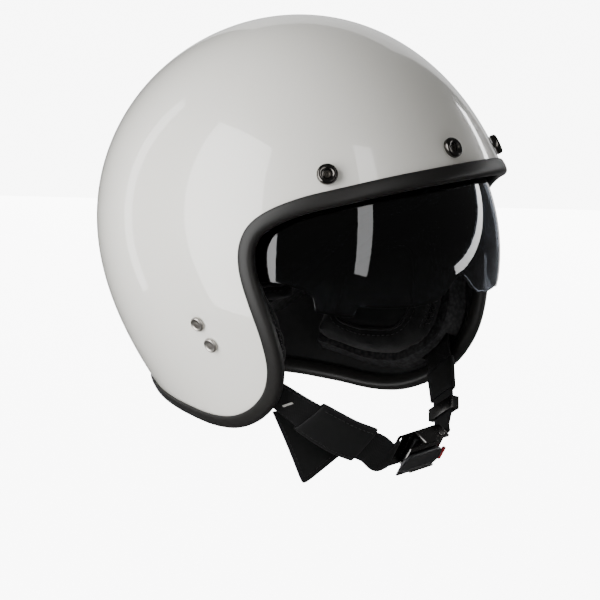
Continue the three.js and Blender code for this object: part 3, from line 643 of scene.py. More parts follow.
aged_nickel, _, _, _ = grained(
    "aged_nickel", (0.52, 0.495, 0.46), (0.3, 0.285, 0.262), 420, 0.38, 0.2, 0.12, 0.0001, 60, metallic=1)
anchors = {}
for side_name, side in SIDES.items():
    upper, lower = (side_of_shell(side, *yz) for yz in RIVET_PLACES.values())
    middle = on_shell((upper + lower) / 2)
    out = shell_normal(middle)
    anchors[side_name] = seated(middle, out, upper - lower)
    for level, point in (("upper", upper), ("lower", lower)):
        rivet = turned_part(f"dished_rivet_{side_name}_{level}", [
            (0, -10.9), (3.7, -10.9), (4, -10.7), (4, -10.2), (3.8, -10.05), (2.4, -10.05),
            (2.4, 0.5), (4.8, 0.5), (5, 0.8), (5, 1.5), (4.7, 2.2), (4.25, 2.6), (3.85, 2.6),
            (3.4, 2.3), (2.6, 2.1), (1.4, 2.2), (0, 2.3)], seated(point, out, upper - lower))
        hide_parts(f"strap_rivet_{side_name}_{level}")
        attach(rivet, "helmet")
        rivet.data.materials.append(aged_nickel)
    dressed(f"strap_anchor_plate_{side_name}", bright_steel)

# ---------------------------------------------------------------------------- foam liner
# Beads of expanded polystyrene moulded to fit the shell, with a pocket for the raised visor, and
# two loose cheek blocks. Grey-black beads show on their faces.


def moulded_beads():
    material, nodes, links, shader = new_material("moulded_bead_foam", (0.03, 0.03, 0.032), 0.85)
    place = nodes.new("ShaderNodeTexCoord")
    beads = nodes.new("ShaderNodeTexVoronoi")
    beads.inputs["Scale"].default_value = 380
    links.new(place.outputs["Object"], beads.inputs["Vector"])
    # The tone is painted shade: lighter in each bead's middle, darker towards the gaps where the bump sinks.
    tone = nodes.new("ShaderNodeValToRGB")
    tone.color_ramp.elements[0].color = (0.042, 0.042, 0.045, 1)
    tone.color_ramp.elements[1].color = (0.012, 0.012, 0.013, 1)
    tone.color_ramp.elements[1].position = 0.75
    links.new(beads.outputs["Distance"], tone.inputs["Fac"])
    links.new(tone.outputs["Color"], shader.inputs["Base Color"])
    relief = nodes.new("ShaderNodeBump")
    relief.invert = True
    relief.inputs["Strength"].default_value = 0.5
    relief.inputs["Distance"].default_value = 0.0005
    links.new(beads.outputs["Distance"], relief.inputs["Height"])
    links.new(relief.outputs["Normal"], shader.inputs["Normal"])
    return material


bead_foam = moulded_beads()
for node in ("foam_liner", "cheek_foam_right", "cheek_foam_left"):
    dressed(node, bead_foam)

# ---------------------------------------------------------------------------- crown lining
# A removable cap of brushed black knit over thin foam, quilted by sewn channels, its free edge
# bound with a strip of the same cloth.
LINER_EDGE = [
    (0, -0.127, 0.0565), (-0.026, -0.125, 0.056), (-0.052, -0.116, 0.0535), (-0.080, -0.098, 0.048),
    (-0.097, -0.080, 0.0425), (-0.109, -0.062, 0.035), (-0.117, -0.046, 0.026), (-0.121, -0.034, 0.012),
    (-0.122, -0.016, 0.001), (-0.122, 0.008, -0.006), (-0.120, 0.032, -0.018), (-0.113, 0.054, -0.040),
    (-0.100, 0.074, -0.064), (-0.080, 0.092, -0.082), (-0.054, 0.106, -0.090), (-0.028, 0.116, -0.0915),
    (0, 0.122, -0.0915)]
LINING_OUTER = 0.0352
LINING_INNER = 0.045
QUILT_RINGS = (0.34, 0.66)
QUILT_PANELS = 8


def quilted_depth(rings, columns, reach):
    """Depth of the lining's inner face: full in the panels, thin along the seams and the edge."""
    ring = np.linspace(0, 1, rings + 1)[:, None]
    around = np.linspace(0, QUILT_PANELS, columns, endpoint=False)[None, :]
    beside = np.abs(around - np.round(around)) / QUILT_PANELS * 2 * math.pi * reach * np.sin(ring * 1.6)
    beside = np.where(ring > QUILT_RINGS[0], beside, 1)
    for seam in QUILT_RINGS:
        beside = np.minimum(beside, np.abs(ring - seam) * reach * 1.6)
    fullness = 1 - 0.55 * np.exp(-(beside / 0.0045) ** 2)
    edge = np.sqrt(np.clip(1 - (np.clip(ring - 0.94, 0, 1) / 0.06) ** 2, 0.04, 1))
    return LINING_OUTER + (LINING_INNER - LINING_OUTER) * fullness * edge


def knit_pattern():
    """Small loops of knit in the solid, softened by fuzz, as a height and a colour that paints shade in the
    hollows.
    """
    group = bpy.data.node_groups.new("knit", "ShaderNodeTree")
    for name, kind, value in (
            ("Light", "NodeSocketColor", (1, 1, 1, 1)), ("Dark", "NodeSocketColor", (0, 0, 0, 1)),
            ("Loops", "NodeSocketFloat", 900.0)):
        group.interface.new_socket(name, in_out="INPUT", socket_type=kind).default_value = value
    group.interface.new_socket("Color", in_out="OUTPUT", socket_type="NodeSocketColor")
    group.interface.new_socket("Height", in_out="OUTPUT", socket_type="NodeSocketFloat")
    nodes, links = group.nodes, group.links
    given = nodes.new("NodeGroupInput")
    result = nodes.new("NodeGroupOutput")
    place = nodes.new("ShaderNodeTexCoord")
    loops = nodes.new("ShaderNodeTexVoronoi")
    loops.feature = "SMOOTH_F1"
    fuzz = nodes.new("ShaderNodeTexNoise")
    fuzz.inputs["Scale"].default_value = 55
    fuzz.inputs["Detail"].default_value = 6
    links.new(place.outputs["Object"], loops.inputs["Vector"])
    links.new(place.outputs["Object"], fuzz.inputs["Vector"])
    links.new(given.outputs["Loops"], loops.inputs["Scale"])
    height = nodes.new("ShaderNodeMath")
    height.operation = "MULTIPLY_ADD"
    height.inputs[1].default_value = -0.9
    links.new(loops.outputs["Distance"], height.inputs[0])
    links.new(fuzz.outputs["Fac"], height.inputs[2])
    # Painted shade: the height mixes the colour, so the hollows between loops are darker; the fuzz adds a
    # random tone.
    tone = nodes.new("ShaderNodeMix")
    tone.data_type = "RGBA"
    links.new(height.outputs[0], tone.inputs["Factor"])
    links.new(given.outputs["Dark"], tone.inputs["A"])
    links.new(given.outputs["Light"], tone.inputs["B"])
    links.new(tone.outputs["Result"], result.inputs["Color"])
    links.new(height.outputs[0], result.inputs["Height"])
    return group


knit_group = knit_pattern()


def knitted(name, light, dark, loops, roughness, relief_depth):
    material, nodes, links, shader = new_material(name, light, roughness)
    knit = nodes.new("ShaderNodeGroup")
    knit.node_tree = knit_group
    knit.inputs["Light"].default_value = (*light, 1)
    knit.inputs["Dark"].default_value = (*dark, 1)
    knit.inputs["Loops"].default_value = loops
    relief = nodes.new("ShaderNodeBump")
    relief.inputs["Strength"].default_value = 0.5
    relief.inputs["Distance"].default_value = relief_depth
    links.new(knit.outputs["Color"], shader.inputs["Base Color"])
    links.new(knit.outputs["Height"], relief.inputs["Height"])
    links.new(relief.outputs["Normal"], shader.inputs["Normal"])
    shader.inputs["Specular IOR Level"].default_value = 0.25
    shader.inputs["Sheen Weight"].default_value = 0.12
    shader.inputs["Sheen Roughness"].default_value = 0.5
    return material


lining_knit = knitted("brushed_knit", (0.012, 0.012, 0.013), (0.006, 0.006, 0.0065), 1100, 0.9, 0.00018)
pad_edge = pushed_loop(smooth_loop(LINER_EDGE, 192), -0.006)
lining = domed_layer("crown_lining", pad_edge, 64, LINING_OUTER, quilted_depth(64, 192, 0.11))
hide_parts("crown_pad")
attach(lining, "helmet")
# A domed layer has two slots, its outer and its inner face, and here both are the same cloth.
for _ in range(2):
    lining.data.materials.append(lining_knit)


def corded(name, points, radius, closed=False):
    """A round cord of cloth along a row of points."""
    line = bpy.data.curves.new(name, "CURVE")
    line.dimensions = "3D"
    line.bevel_depth = radius
    line.bevel_resolution = 3
    line.use_fill_caps = True
    run = line.splines.new("POLY")
    run.points.add(len(points) - 1)
    for spot, point in zip(run.points, points):
        spot.co = (*point, 1)
    run.use_cyclic_u = closed
    piece = bpy.data.objects.new(name, line)
    bpy.context.collection.objects.link(piece)
    bpy.ops.object.select_all(action="DESELECT")
    bpy.context.view_layer.objects.active = piece
    piece.select_set(True)
    bpy.ops.object.convert(target="MESH")
    piece = bpy.context.object
    piece.data.shade_smooth()
    return piece


binding = corded("crown_lining_binding", below_shell(pad_edge, np.full(len(pad_edge), 0.0385)), 0.0019, True)
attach(binding, "helmet")
binding_cloth = knitted("binding_cloth", (0.011, 0.011, 0.0115), (0.006, 0.006, 0.006), 1500, 0.75, 0.0001)
binding.data.materials.append(binding_cloth)

# ---------------------------------------------------------------------------- neck roll, cheek pads
# Blocks of soft foam in sewn covers of brushed knit, held by press-studs under the liner. Each is
# stuffed full, with a corded seam round its face and a row of stitches beside the cord.


def merged_copy(name, node):
    """A copy of a node's mesh with its loose triangles welded and its normals made consistent."""
    piece = bpy.data.objects.new(name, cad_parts[node].data.copy())
    bpy.context.collection.objects.link(piece)
    piece.data.name = name
    piece.data.materials.clear()
    in_edit_mode(piece)
    bpy.ops.mesh.remove_doubles(threshold=2e-6)
    bpy.ops.mesh.normals_make_consistent(inside=False)
    bpy.ops.object.mode_set(mode="OBJECT")
    return piece


def coordinates(mesh):
    flat = np.empty(len(mesh.vertices) * 3, dtype=np.float32)
    mesh.vertices.foreach_get("co", flat)
    return flat.reshape(-1, 3).astype(float)


def stuffed(name, node, voxel, slack, cap):
    """The node's block remeshed, drawn in by slack, and blown up as a cloth cover, cap at most."""
    piece = merged_copy(name, node)
    even = piece.modifiers.new("even_mesh", "REMESH")
    even.mode = "VOXEL"
    even.voxel_size = voxel
    soft = piece.modifiers.new("soft_corners", "SMOOTH")
    soft.factor = 0.6
    soft.iterations = 8
    apply_all_modifiers(piece)
    normals = np.array([v.normal[:] for v in piece.data.vertices])
    start = coordinates(piece.data) - normals * slack
    piece.data.vertices.foreach_set("co", start.astype(np.float32).ravel())
    piece.data.update()
    cover = piece.modifiers.new("cover", "CLOTH")
    cover.settings.use_pressure = True
    cover.settings.uniform_pressure_force = 4
    cover.settings.effector_weights.gravity = 0
    cover.settings.mass = 0.3
    cover.point_cache.frame_start = 1
    cover.point_cache.frame_end = 20
    for step in range(1, 21):
        bpy.context.scene.frame_set(step)
    shown = piece.evaluated_get(bpy.context.evaluated_depsgraph_get())
    moved = coordinates(shown.data) - start
    piece.modifiers.remove(cover)
    bpy.context.scene.frame_set(1)
    length = np.linalg.norm(moved, axis=1, keepdims=True)
    moved *= np.minimum(1, cap / np.maximum(length, 1e-9))
    piece.data.vertices.foreach_set("co", (start + moved).astype(np.float32).ravel())
    finer = piece.modifiers.new("finer", "SUBSURF")
    finer.levels = finer.render_levels = 1
    apply_all_modifiers(piece)
    piece.data.shade_smooth()
    return piece


def on_surface(piece, points):
    """The nearest places on a piece, with the way out of it at each."""
    found = [piece.closest_point_on_mesh(Vector(point)) for point in points]
    return np.array([f[1][:] for f in found]), np.array([f[2][:] for f in found])


def sewn_down(piece, line, depth, width):
    """Draws a piece's surface in along a seam."""
    place = coordinates(piece.data)
    normals = np.array([v.normal[:] for v in piece.data.vertices])
    nearest = np.full(len(place), 1.0)
    for point in line:
        nearest = np.minimum(nearest, np.linalg.norm(place - point, axis=1))
    drawn = depth * np.exp(-(nearest / width) ** 2)
    piece.data.vertices.foreach_set("co", (place - normals * drawn[:, None]).astype(np.float32).ravel())
    piece.data.update()


def smooth_line(points, count):
    """Even steps along a row of points."""
    row = np.array(points)
    run = np.concatenate([[0], np.cumsum(np.linalg.norm(np.diff(row, axis=0), axis=1))])
    spots = np.linspace(0, run[-1], count)
    return np.stack([np.interp(spots, run, row[:, k]) for k in range(3)], axis=1)


def stitched(name, points, outs, length=0.0026, pitch=0.0038, radius=0.00028):
    """A row of thread stitches lying on a surface, each a small six-sided spindle."""
    run = np.concatenate([[0], np.cumsum(np.linalg.norm(np.diff(points, axis=0), axis=1))])
    verts, faces = [], []
    for start in np.arange(pitch / 2, run[-1] - length, pitch):
        ends = [np.array([np.interp(start + s, run, points[:, k]) for k in range(3)]) for s in (0, length)]
        out = np.array([np.interp(start + length / 2, run, outs[:, k]) for k in range(3)])
        along = (ends[1] - ends[0]) / np.linalg.norm(ends[1] - ends[0])
        beside = np.cross(along, out)
        beside /= np.linalg.norm(beside)
        lift = np.cross(beside, along)
        base = len(verts)
        for part, size in ((0, 0.35), (0.2, 1), (0.8, 1), (1, 0.35)):
            middle = ends[0] + along * part * length + lift * radius * (size - 0.6)
            for k in range(6):
                turn = k * math.pi / 3
                verts.append(middle + radius * size * (beside * math.cos(turn) + lift * math.sin(turn)))
        for ring in range(3):
            for k in range(6):
                a, b = base + ring * 6 + k, base + ring * 6 + (k + 1) % 6
                faces.append([a, b, b + 6, a + 6])
        faces.append([base + k for k in range(5, -1, -1)])
        faces.append([base + 18 + k for k in range(6)])
    piece = new_piece(name, verts, faces)
    face_outwards(piece)
    return piece


thread, _, _, _ = grained(
    "polyester_thread", (0.016, 0.016, 0.017), (0.009, 0.009, 0.0095), 3000, 0.55, 0.1, 0.3, 0.0001)


def trimmed_seam(pad, name, line, closed, offset=0.0042):
    """A corded seam drawn into a pad, with a row of stitches beside it."""
    sewn_down(pad, on_surface(pad, line)[0], 0.0016, 0.0034)
    spots, outs = on_surface(pad, line)
    cord = corded(f"{name}_cord", spots + outs * 0.0005, 0.0011, closed)
    around = np.roll(spots, -1, axis=0) - np.roll(spots, 1, axis=0)
    if not closed:
        around[0], around[-1] = around[1], around[-2]
    beside = np.cross(around, outs)
    beside /= np.linalg.norm(beside, axis=1, keepdims=True)
    row, row_outs = on_surface(pad, spots + beside * offset)
    threads = stitched(f"{name}_stitches", row, row_outs)
    for piece, material in ((cord, binding_cloth), (threads, thread)):
        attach(piece, "helmet")
        piece.data.materials.append(material)


CHEEK_REAR = 0.052
CHEEK_FRONT = (-0.040, -0.043, -0.048, -0.0525, -0.055, -0.054, -0.047)
CHEEK_CEILING = (-0.002, -0.008, -0.014, -0.024, -0.038, -0.056)
CHEEK_FLOOR = (-0.091, -0.101, -0.107, -0.1085, -0.1085, -0.106, -0.103, -0.100)


def along_curve(heights, part):
    return np.interp(part, np.linspace(0, 1, len(heights)), heights)


def cheek_place(side, down, rearward, depth):
    ceiling = along_curve(CHEEK_CEILING, rearward)
    z = ceiling + (along_curve(CHEEK_FLOOR, rearward) - ceiling) * down
    y = along_curve(CHEEK_FRONT, down)
    y = y + (CHEEK_REAR - y) * rearward
    return below_shell(side_of_shell(side, y, z), np.full(np.shape(down), depth))


for side_name, side in SIDES.items():
    pad = stuffed(f"cheek_cushion_{side_name}", f"cheek_pad_{side_name}", 0.0036, 0.0022, 0.003)
    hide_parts(f"cheek_pad_{side_name}")
    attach(pad, "helmet")
    pad.data.materials.append(lining_knit)
    rounded = []
    for turn in np.linspace(0, 2 * math.pi, 60, endpoint=False):
        square = (abs(math.cos(turn)) ** 5 + abs(math.sin(turn)) ** 5) ** -0.2
        rounded.append((0.52 + 0.33 * square * math.sin(turn), 0.5 + 0.34 * square * math.cos(turn)))
    face_line = cheek_place(
        side, np.array([p[0] for p in rounded]), np.array([p[1] for p in rounded]), 0.041)
    trimmed_seam(pad, f"cheek_face_seam_{side_name}", resampled(face_line, 150), True)
    drop = np.linspace(0.08, 0.92, 24)
    front_line = cheek_place(side, drop, np.full(24, -0.01), 0.030)
    trimmed_seam(pad, f"cheek_front_seam_{side_name}", smooth_line(front_line, 70), False)

roll = stuffed("neck_cushion", "neck_roll", 0.0034, 0.0014, 0.002)
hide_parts("neck_roll")
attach(roll, "helmet")
roll.data.materials.append(lining_knit)
turns = np.radians(np.linspace(-47, 47, 60))
nape = on_shell(np.stack([110 * np.sin(turns), 115 * np.cos(turns), np.full(60, -72.0)], axis=1) / 1000)
trimmed_seam(roll, "neck_seam", below_shell(nape, np.full(60, 0.058)), False)

# ---------------------------------------------------------------------------- chin strap
# Flat polyester webbing, 24 mm wide, from the plate in each side of the shell to the buckle
# under the chin. It turns from lying along the cheek to lying under the jaw.
WEBBING_WIDTH = 24
BUCKLE_ORIGIN = np.array([26.5, -71, -142.9])
buckle_along = np.array([1, 0, 0.05]) / np.hypot(1, 0.05)
buckle_tilt = math.radians(33.4)
buckle_across = np.array([0, math.sin(buckle_tilt), -math.cos(buckle_tilt)])
buckle_out = -np.cross(buckle_along, buckle_across)
buckle_out /= np.linalg.norm(buckle_out)


def at_buckle(along, out):
    return BUCKLE_ORIGIN + buckle_along * along + buckle_out * out


STRAP_ENDS = {
    "right": [(-68, -57, -106), (-40, -65.5, -124.5), (-14, -69.8, -136.5), at_buckle(-30, -0.8),
              at_buckle(-20.8, -0.8)],
    "left": [(70, -60, -113), (63.5, -66, -126), (57, -69.2, -136.5), at_buckle(27, 0.2),
             at_buckle(20.8, 0.2)]}


def strap_route(side_name):
    side = SIDES[side_name]
    anchor = np.array(anchors[side_name])
    start = anchor[:3, 3] * 1000 - anchor[:3, 2] * 8.8
    run = -anchor[:3, 0]
    return [start - run * 17, start, start + run * 17, (side * 91.5, -36, -83), (side * 80, -49, -95.5),
            *STRAP_ENDS[side_name]]


def through(points, steps=60):
    """A smooth curve through every point, eased by the square root of the distances."""
    knots = np.array(points, dtype=float)
    knots = np.vstack([2 * knots[0] - knots[1], knots, 2 * knots[-1] - knots[-2]])
    dense = []
    for p in zip(knots, knots[1:], knots[2:], knots[3:]):
        t = np.concatenate([[0], np.cumsum([np.linalg.norm(b - a) ** 0.5 for a, b in zip(p, p[1:])])])
        s = np.linspace(t[1], t[2], steps, endpoint=False)[:, None]

        def mix(a, b, i, j):
            return (a * (t[j] - s) + b * (s - t[i])) / (t[j] - t[i])

        low, mid, high = mix(p[0], p[1], 0, 1), mix(p[1], p[2], 1, 2), mix(p[2], p[3], 2, 3)
        dense.append(mix(mix(low, mid, 0, 2), mix(mid, high, 1, 3), 1, 2))
    return np.vstack([*dense, knots[-2:-1]])


def strap_frames(side_name, count, first=0.0, last=1.0):
    """Middle line of the strap in metres, the way across it and the way out of its outer face."""
    side = SIDES[side_name]
    curve = through(strap_route(side_name)) / 1000
    run = np.concatenate([[0], np.cumsum(np.linalg.norm(np.diff(curve, axis=0), axis=1))])
    part = np.linspace(first, last, count)
    middle = np.stack([np.interp(part * run[-1], run, curve[:, k]) for k in range(3)], axis=1)
    ahead = np.stack([np.interp((part + 0.004) * run[-1], run, curve[:, k]) for k in range(3)], axis=1)
    behind = np.stack([np.interp((part - 0.004) * run[-1], run, curve[:, k]) for k in range(3)], axis=1)
    along = (ahead - behind) / np.linalg.norm(ahead - behind, axis=1, keepdims=True)
    anchor_across = np.array(anchors[side_name])[:3, 1]
    anchor_across = anchor_across * np.sign(anchor_across[1])
    ease = np.clip((part - 0.2) / 0.55, 0, 1)[:, None]
    ease = ease * ease * (3 - 2 * ease)
    hint = anchor_across * (1 - ease) + buckle_across * ease
    across = hint - along * (hint * along).sum(axis=1, keepdims=True)
    across /= np.linalg.norm(across, axis=1, keepdims=True)
    face = np.cross(along, across)
    away = np.array([side, -0.1, -0.2]) * (1 - ease) + np.array([side * 0.3, -0.6, -0.5]) * ease
    face *= np.sign((face * away).sum(axis=1, keepdims=True))
    return middle, across, face


def swept_band(name, frames, section, swell=None, capped=True):
    """A closed section of (across, out) millimetres carried along a strap, mapped in metres."""
    middle, across, face = frames
    outline = np.array(section) / 1000
    swell = np.ones(len(middle)) if swell is None else swell
    points = (middle[:, None] + across[:, None] * outline[None, :, :1]
              + face[:, None] * outline[None, :, 1:] * swell[:, None, None])
    rows, size = len(middle), len(outline)
    faces = [[i * size + j, (i + 1) * size + j, (i + 1) * size + (j + 1) % size, i * size + (j + 1) % size]
             for i in range(rows - 1) for j in range(size)]
    if capped:
        faces.append(list(range(size)))
        faces.append(list(range((rows - 1) * size, rows * size)))
    piece = new_piece(name, points.reshape(-1, 3), faces)
    face_outwards(piece)
    run = np.concatenate([[0], np.cumsum(np.linalg.norm(np.diff(middle, axis=0), axis=1))])
    cloth_map = piece.data.uv_layers.new(name="cloth_map")
    for loop in piece.data.loops:
        i, j = divmod(loop.vertex_index, size)
        cloth_map.data[loop.index].uv = (outline[j, 0], run[i])
    return piece


def rounded_band(width, thick, power=4.0, steps=48):
    """A flat section with round edges."""
    turns = np.linspace(0, 2 * math.pi, steps, endpoint=False)
    return [(width / 2 * math.copysign(abs(math.cos(t)) ** (2 / power), math.cos(t)),
             thick / 2 * math.copysign(abs(math.sin(t)) ** (2 / power), math.sin(t))) for t in turns]


def woven(name, light, dark, across_pitch, along_pitch, roughness, relief_depth):
    """Threads crossing at right angles on the cloth's own map, their dips darkened as painted shade."""
    material, nodes, links, shader = new_material(name, light, roughness)
    place = nodes.new("ShaderNodeUVMap")
    place.uv_map = "cloth_map"
    parts = nodes.new("ShaderNodeSeparateXYZ")
    links.new(place.outputs["UV"], parts.inputs["Vector"])
    waves = []
    for axis, pitch in (("X", across_pitch), ("Y", along_pitch)):
        scaled = nodes.new("ShaderNodeMath")
        scaled.operation = "MULTIPLY"
        scaled.inputs[1].default_value = 2 * math.pi / pitch
        wave = nodes.new("ShaderNodeMath")
        wave.operation = "SINE"
        links.new(parts.outputs[axis], scaled.inputs[0])
        links.new(scaled.outputs[0], wave.inputs[0])
        waves.append(wave)
    crossing = nodes.new("ShaderNodeMath")
    crossing.operation = "MULTIPLY"
    links.new(waves[0].outputs[0], crossing.inputs[0])
    links.new(waves[1].outputs[0], crossing.inputs[1])
    level = nodes.new("ShaderNodeMath")
    level.operation = "MULTIPLY_ADD"
    level.inputs[1].default_value = 0.5
    level.inputs[2].default_value = 0.5
    links.new(crossing.outputs[0], level.inputs[0])
    # Painted shade: the level that lifts the threads also mixes their colour, darker where they dip.
    tone = nodes.new("ShaderNodeMix")
    tone.data_type = "RGBA"
    tone.inputs["A"].default_value = (*dark, 1)
    tone.inputs["B"].default_value = (*light, 1)
    links.new(level.outputs[0], tone.inputs["Factor"])
    links.new(tone.outputs["Result"], shader.inputs["Base Color"])
    relief = nodes.new("ShaderNodeBump")
    relief.inputs["Strength"].default_value = 0.6
    relief.inputs["Distance"].default_value = relief_depth
    links.new(level.outputs[0], relief.inputs["Height"])
    links.new(relief.outputs["Normal"], shader.inputs["Normal"])
    shader.inputs["Specular IOR Level"].default_value = 0.25
    shader.inputs["Sheen Weight"].default_value = 0.05
    shader.inputs["Sheen Roughness"].default_value = 0.4
    return material


webbing = woven(
    "polyester_webbing", (0.010, 0.010, 0.0105), (0.004, 0.004, 0.0045), 0.0021, 0.0015, 0.6, 0.00022)
for side_name in SIDES:
    strap = swept_band(
        f"webbing_{side_name}", strap_frames(side_name, 180), rounded_band(WEBBING_WIDTH, 1.8, 6, 64))
    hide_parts(f"strap_webbing_{side_name}")
    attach(strap, "helmet")
    strap.data.materials.append(webbing)
    middle, across, face = strap_frames(side_name, 90, 0.34, 0.55)
    for edge in (-1, 1):
        line = middle + (across * edge * 10.4 + face * 0.93) / 1000
        threads = stitched(f"webbing_stitches_{side_name}_{'upper' if edge < 0 else 'lower'}", line, face)
        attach(threads, "helmet")
        threads.data.materials.append(thread)

# ---------------------------------------------------------------------------- strap sleeves
# Padded tubes of smooth cloth slipped over the webbing where it touches the jaw, sewn down both
# edges and turned in at the ends.
sleeve_cloth = woven(
    "sleeve_cloth", (0.0095, 0.0095, 0.0098), (0.005, 0.005, 0.0053), 0.0009, 0.0009, 0.7, 0.00007)
for side_name, first, last in (("right", 0.56, 0.83), ("left", 0.58, 0.73)):
    frames = strap_frames(side_name, 60, first, last)
    ends = np.minimum(np.arange(60), np.arange(59, -1, -1))
    swell = 1 - 0.2 * np.exp(-(ends / 2.2) ** 2)
    sleeve = swept_band(f"padded_sleeve_{side_name}", frames, rounded_band(29, 6, 3.2, 56), swell, False)
    wall = sleeve.modifiers.new("wall", "SOLIDIFY")
    wall.thickness = 0.0011
    wall.offset = -1
    apply_all_modifiers(sleeve)
    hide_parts(f"strap_sleeve_{side_name}")
    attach(sleeve, "helmet")
    sleeve.data.materials.append(sleeve_cloth)
    middle, across, face = strap_frames(side_name, 80, first + 0.008, last - 0.008)
    for edge in (-1, 1):
        line, outs = on_surface(sleeve, middle + (across * edge * 11.6 + face * 4) / 1000)
        threads = stitched(f"sleeve_stitches_{side_name}_{'upper' if edge < 0 else 'lower'}", line, outs)
        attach(threads, "helmet")
        threads.data.materials.append(thread)

# ---------------------------------------------------------------------------- cover flap and tag
# A loose flap of bonded cloth that hangs inside the strap at the right jaw, stitched round its
# three free edges, and a narrow blank tag that lies on the outer face of the right webbing.
FLAP_CORNERS = np.array([(-74, -35, -107), (-62, -50, -156), (-22, -55, -138), (-50, -40, -106.5)]) / 1000
flap_out = np.cross(FLAP_CORNERS[1] - FLAP_CORNERS[0], FLAP_CORNERS[3] - FLAP_CORNERS[0])
flap_out /= np.linalg.norm(flap_out)


def flap_point(down, across):
    """Places on the flap, from its sewn top edge down, with soft lower corners and a slight curl."""
    a, b = 2 * down - 1, 2 * across - 1
    drawn = np.where(a > 0, 1 - 0.05 * (a * a * b * b) ** 4, 1)
    down, across = (a * drawn + 1) / 2, (b * drawn + 1) / 2
    left = FLAP_CORNERS[0] + (FLAP_CORNERS[1] - FLAP_CORNERS[0]) * down[..., None]
    right = FLAP_CORNERS[3] + (FLAP_CORNERS[2] - FLAP_CORNERS[3]) * down[..., None]
    curl = 0.0012 * np.sin(down * 2.6) * np.cos(across * math.pi)
    return left + (right - left) * across[..., None] + flap_out * curl[..., None]


def grid_parts(rows, columns):
    return np.meshgrid(np.linspace(0, 1, rows), np.linspace(0, 1, columns), indexing="ij")


def cloth_sheet(name, places, columns, width, length):
    """A sheet of quads over a grid of places, with the cloth's own map laid on it in metres."""
    rows = len(places) // columns
    piece = new_piece(name, places, [
        [k, k + columns, k + columns + 1, k + 1]
        for i in range(rows - 1) for k in range(i * columns, (i + 1) * columns - 1)])
    cloth_map = piece.data.uv_layers.new(name="cloth_map")
    for loop in piece.data.loops:
        i, j = divmod(loop.vertex_index, columns)
        cloth_map.data[loop.index].uv = (j / columns * width, i / rows * length)
    return piece


FLAP_COLUMNS = 34
flap_grid = flap_point(*grid_parts(44, FLAP_COLUMNS))
flap = cloth_sheet("hemmed_flap", flap_grid.reshape(-1, 3), FLAP_COLUMNS, 0.038, 0.05)
cloth_body = flap.modifiers.new("cloth_body", "SOLIDIFY")
cloth_body.thickness = 0.0012
cloth_body.offset = 0
rounded_corners(flap, 0.0004, 60)
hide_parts("strap_cover_flap")
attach(flap, "helmet")
flap.data.materials.append(sleeve_cloth)
label_cloth = woven("label_cloth", (0.56, 0.55, 0.52), (0.42, 0.41, 0.39), 0.0006, 0.0006, 0.75, 0.00005)
# The tag lies aslant across the webbing, just clear of its outer face.
TAG_SIDE = np.array((-0.74, -0.64, 0.18)) * 0.011
TAG_WIDTH = 0.0018
tag_ends = np.array([(-74.7, -42.1, -105), (-68.8, -47.3, -99.2)]) / 1000 + TAG_SIDE
TAG_COLUMNS = 12
downs, acrosses = grid_parts(5, TAG_COLUMNS)
tag_along = tag_ends[1] - tag_ends[0]
tag_up = np.cross(tag_along, TAG_SIDE)
tag_up *= TAG_WIDTH / np.linalg.norm(tag_up)
tag_grid = tag_ends[0] + tag_along * acrosses[..., None] + tag_up * downs[..., None]
tag_spots, tag_outs = on_surface(bpy.data.objects["webbing_right"], tag_grid.reshape(-1, 3))
tag = cloth_sheet("care_tag", tag_spots + tag_outs * 0.0004, TAG_COLUMNS, 0.01, TAG_WIDTH)
tag_body = tag.modifiers.new("tag_body", "SOLIDIFY")
tag_body.thickness = 0.0004
tag_body.offset = 0
rounded_corners(tag, 0.0001, 60)
face_outwards(tag)
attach(tag, "helmet")
tag.data.materials.append(label_cloth)
hem = np.array([(0.06, 0.07), (0.93, 0.07), (0.93, 0.93), (0.06, 0.93)])
hem_line = smooth_line(flap_point(*np.vstack([
    start + (end - start) * np.linspace(0, 1, 30)[:, None] for start, end in zip(hem, hem[1:])]).T), 160)
for face_name, out in (("outer", flap_out), ("inner", -flap_out)):
    threads = stitched(
        f"flap_stitches_{face_name}", hem_line + out * 0.00062, np.tile(out, (160, 1)),
        0.0022, 0.0032, 0.0002)
    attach(threads, "helmet")
    threads.data.materials.append(thread)

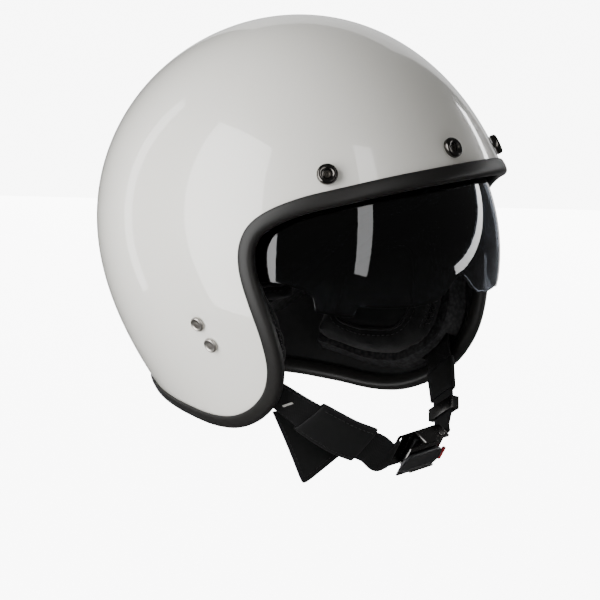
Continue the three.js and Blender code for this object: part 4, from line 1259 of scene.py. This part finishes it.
# ---------------------------------------------------------------------------- buckle and slider
# A ratchet buckle: a bent steel frame and lever on one pin with a coil spring, a black lever
# pad, a toothed nylon tongue and a red release tab, and a steel slider on the left strap.


def machined(name, node, rounding, body, material):
    """A finished copy of a machined node, its flat faces made whole and its corners eased."""
    piece = merged_copy(name, node)
    in_edit_mode(piece)
    bpy.ops.mesh.dissolve_limited(angle_limit=math.radians(1))
    bpy.ops.object.mode_set(mode="OBJECT")
    rounded_corners(piece, rounding)
    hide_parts(node)
    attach(piece, body)
    piece.data.materials.append(material)
    return piece


dark_steel, _, _, _ = grained(
    "burnished_steel", (0.15, 0.147, 0.142), (0.085, 0.083, 0.08), 600, 0.26, 0.12, 0.1, 0.0001, metallic=1)
red_plastic, _, _, _ = grained(
    "red_release_plastic", (0.42, 0.016, 0.022), (0.32, 0.011, 0.016), 1400, 0.4, 0.12, 0.2, 0.0001)
machined("bent_frame", "buckle_frame", 0.0004, "helmet", dark_steel)
machined("ratchet_lever", "buckle_lever", 0.0004, "lever", dark_steel)
machined("hinge_pin", "buckle_pin", 0.0002, "helmet", bright_steel)
machined("toothed_tongue", "ratchet_tongue", 0.0002, "tongue", black_plastic)
machined("red_tab", "release_tab", 0.0005, "lever", red_plastic)
machined("slider_loop", "strap_slider", 0.0006, "helmet", dark_steel)
dressed("buckle_spring", bright_steel)

lever_pad = merged_copy("lever_grip", "buckle_lever_pad")
in_edit_mode(lever_pad)
bpy.ops.mesh.dissolve_limited(angle_limit=math.radians(1))
bpy.ops.mesh.select_all(action="DESELECT")
bpy.ops.object.mode_set(mode="OBJECT")
for face in lever_pad.data.polygons:
    face.select = face.normal.dot(Vector(buckle_out)) > 0.97
bpy.ops.object.mode_set(mode="EDIT")
bpy.ops.mesh.inset(thickness=0.0009, depth=0)
bpy.ops.mesh.inset(thickness=0.0003, depth=-0.0006)
bpy.ops.object.mode_set(mode="OBJECT")
rounded_corners(lever_pad, 0.0002)
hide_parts("buckle_lever_pad")
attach(lever_pad, "lever")
lever_pad.data.materials.append(black_plastic)
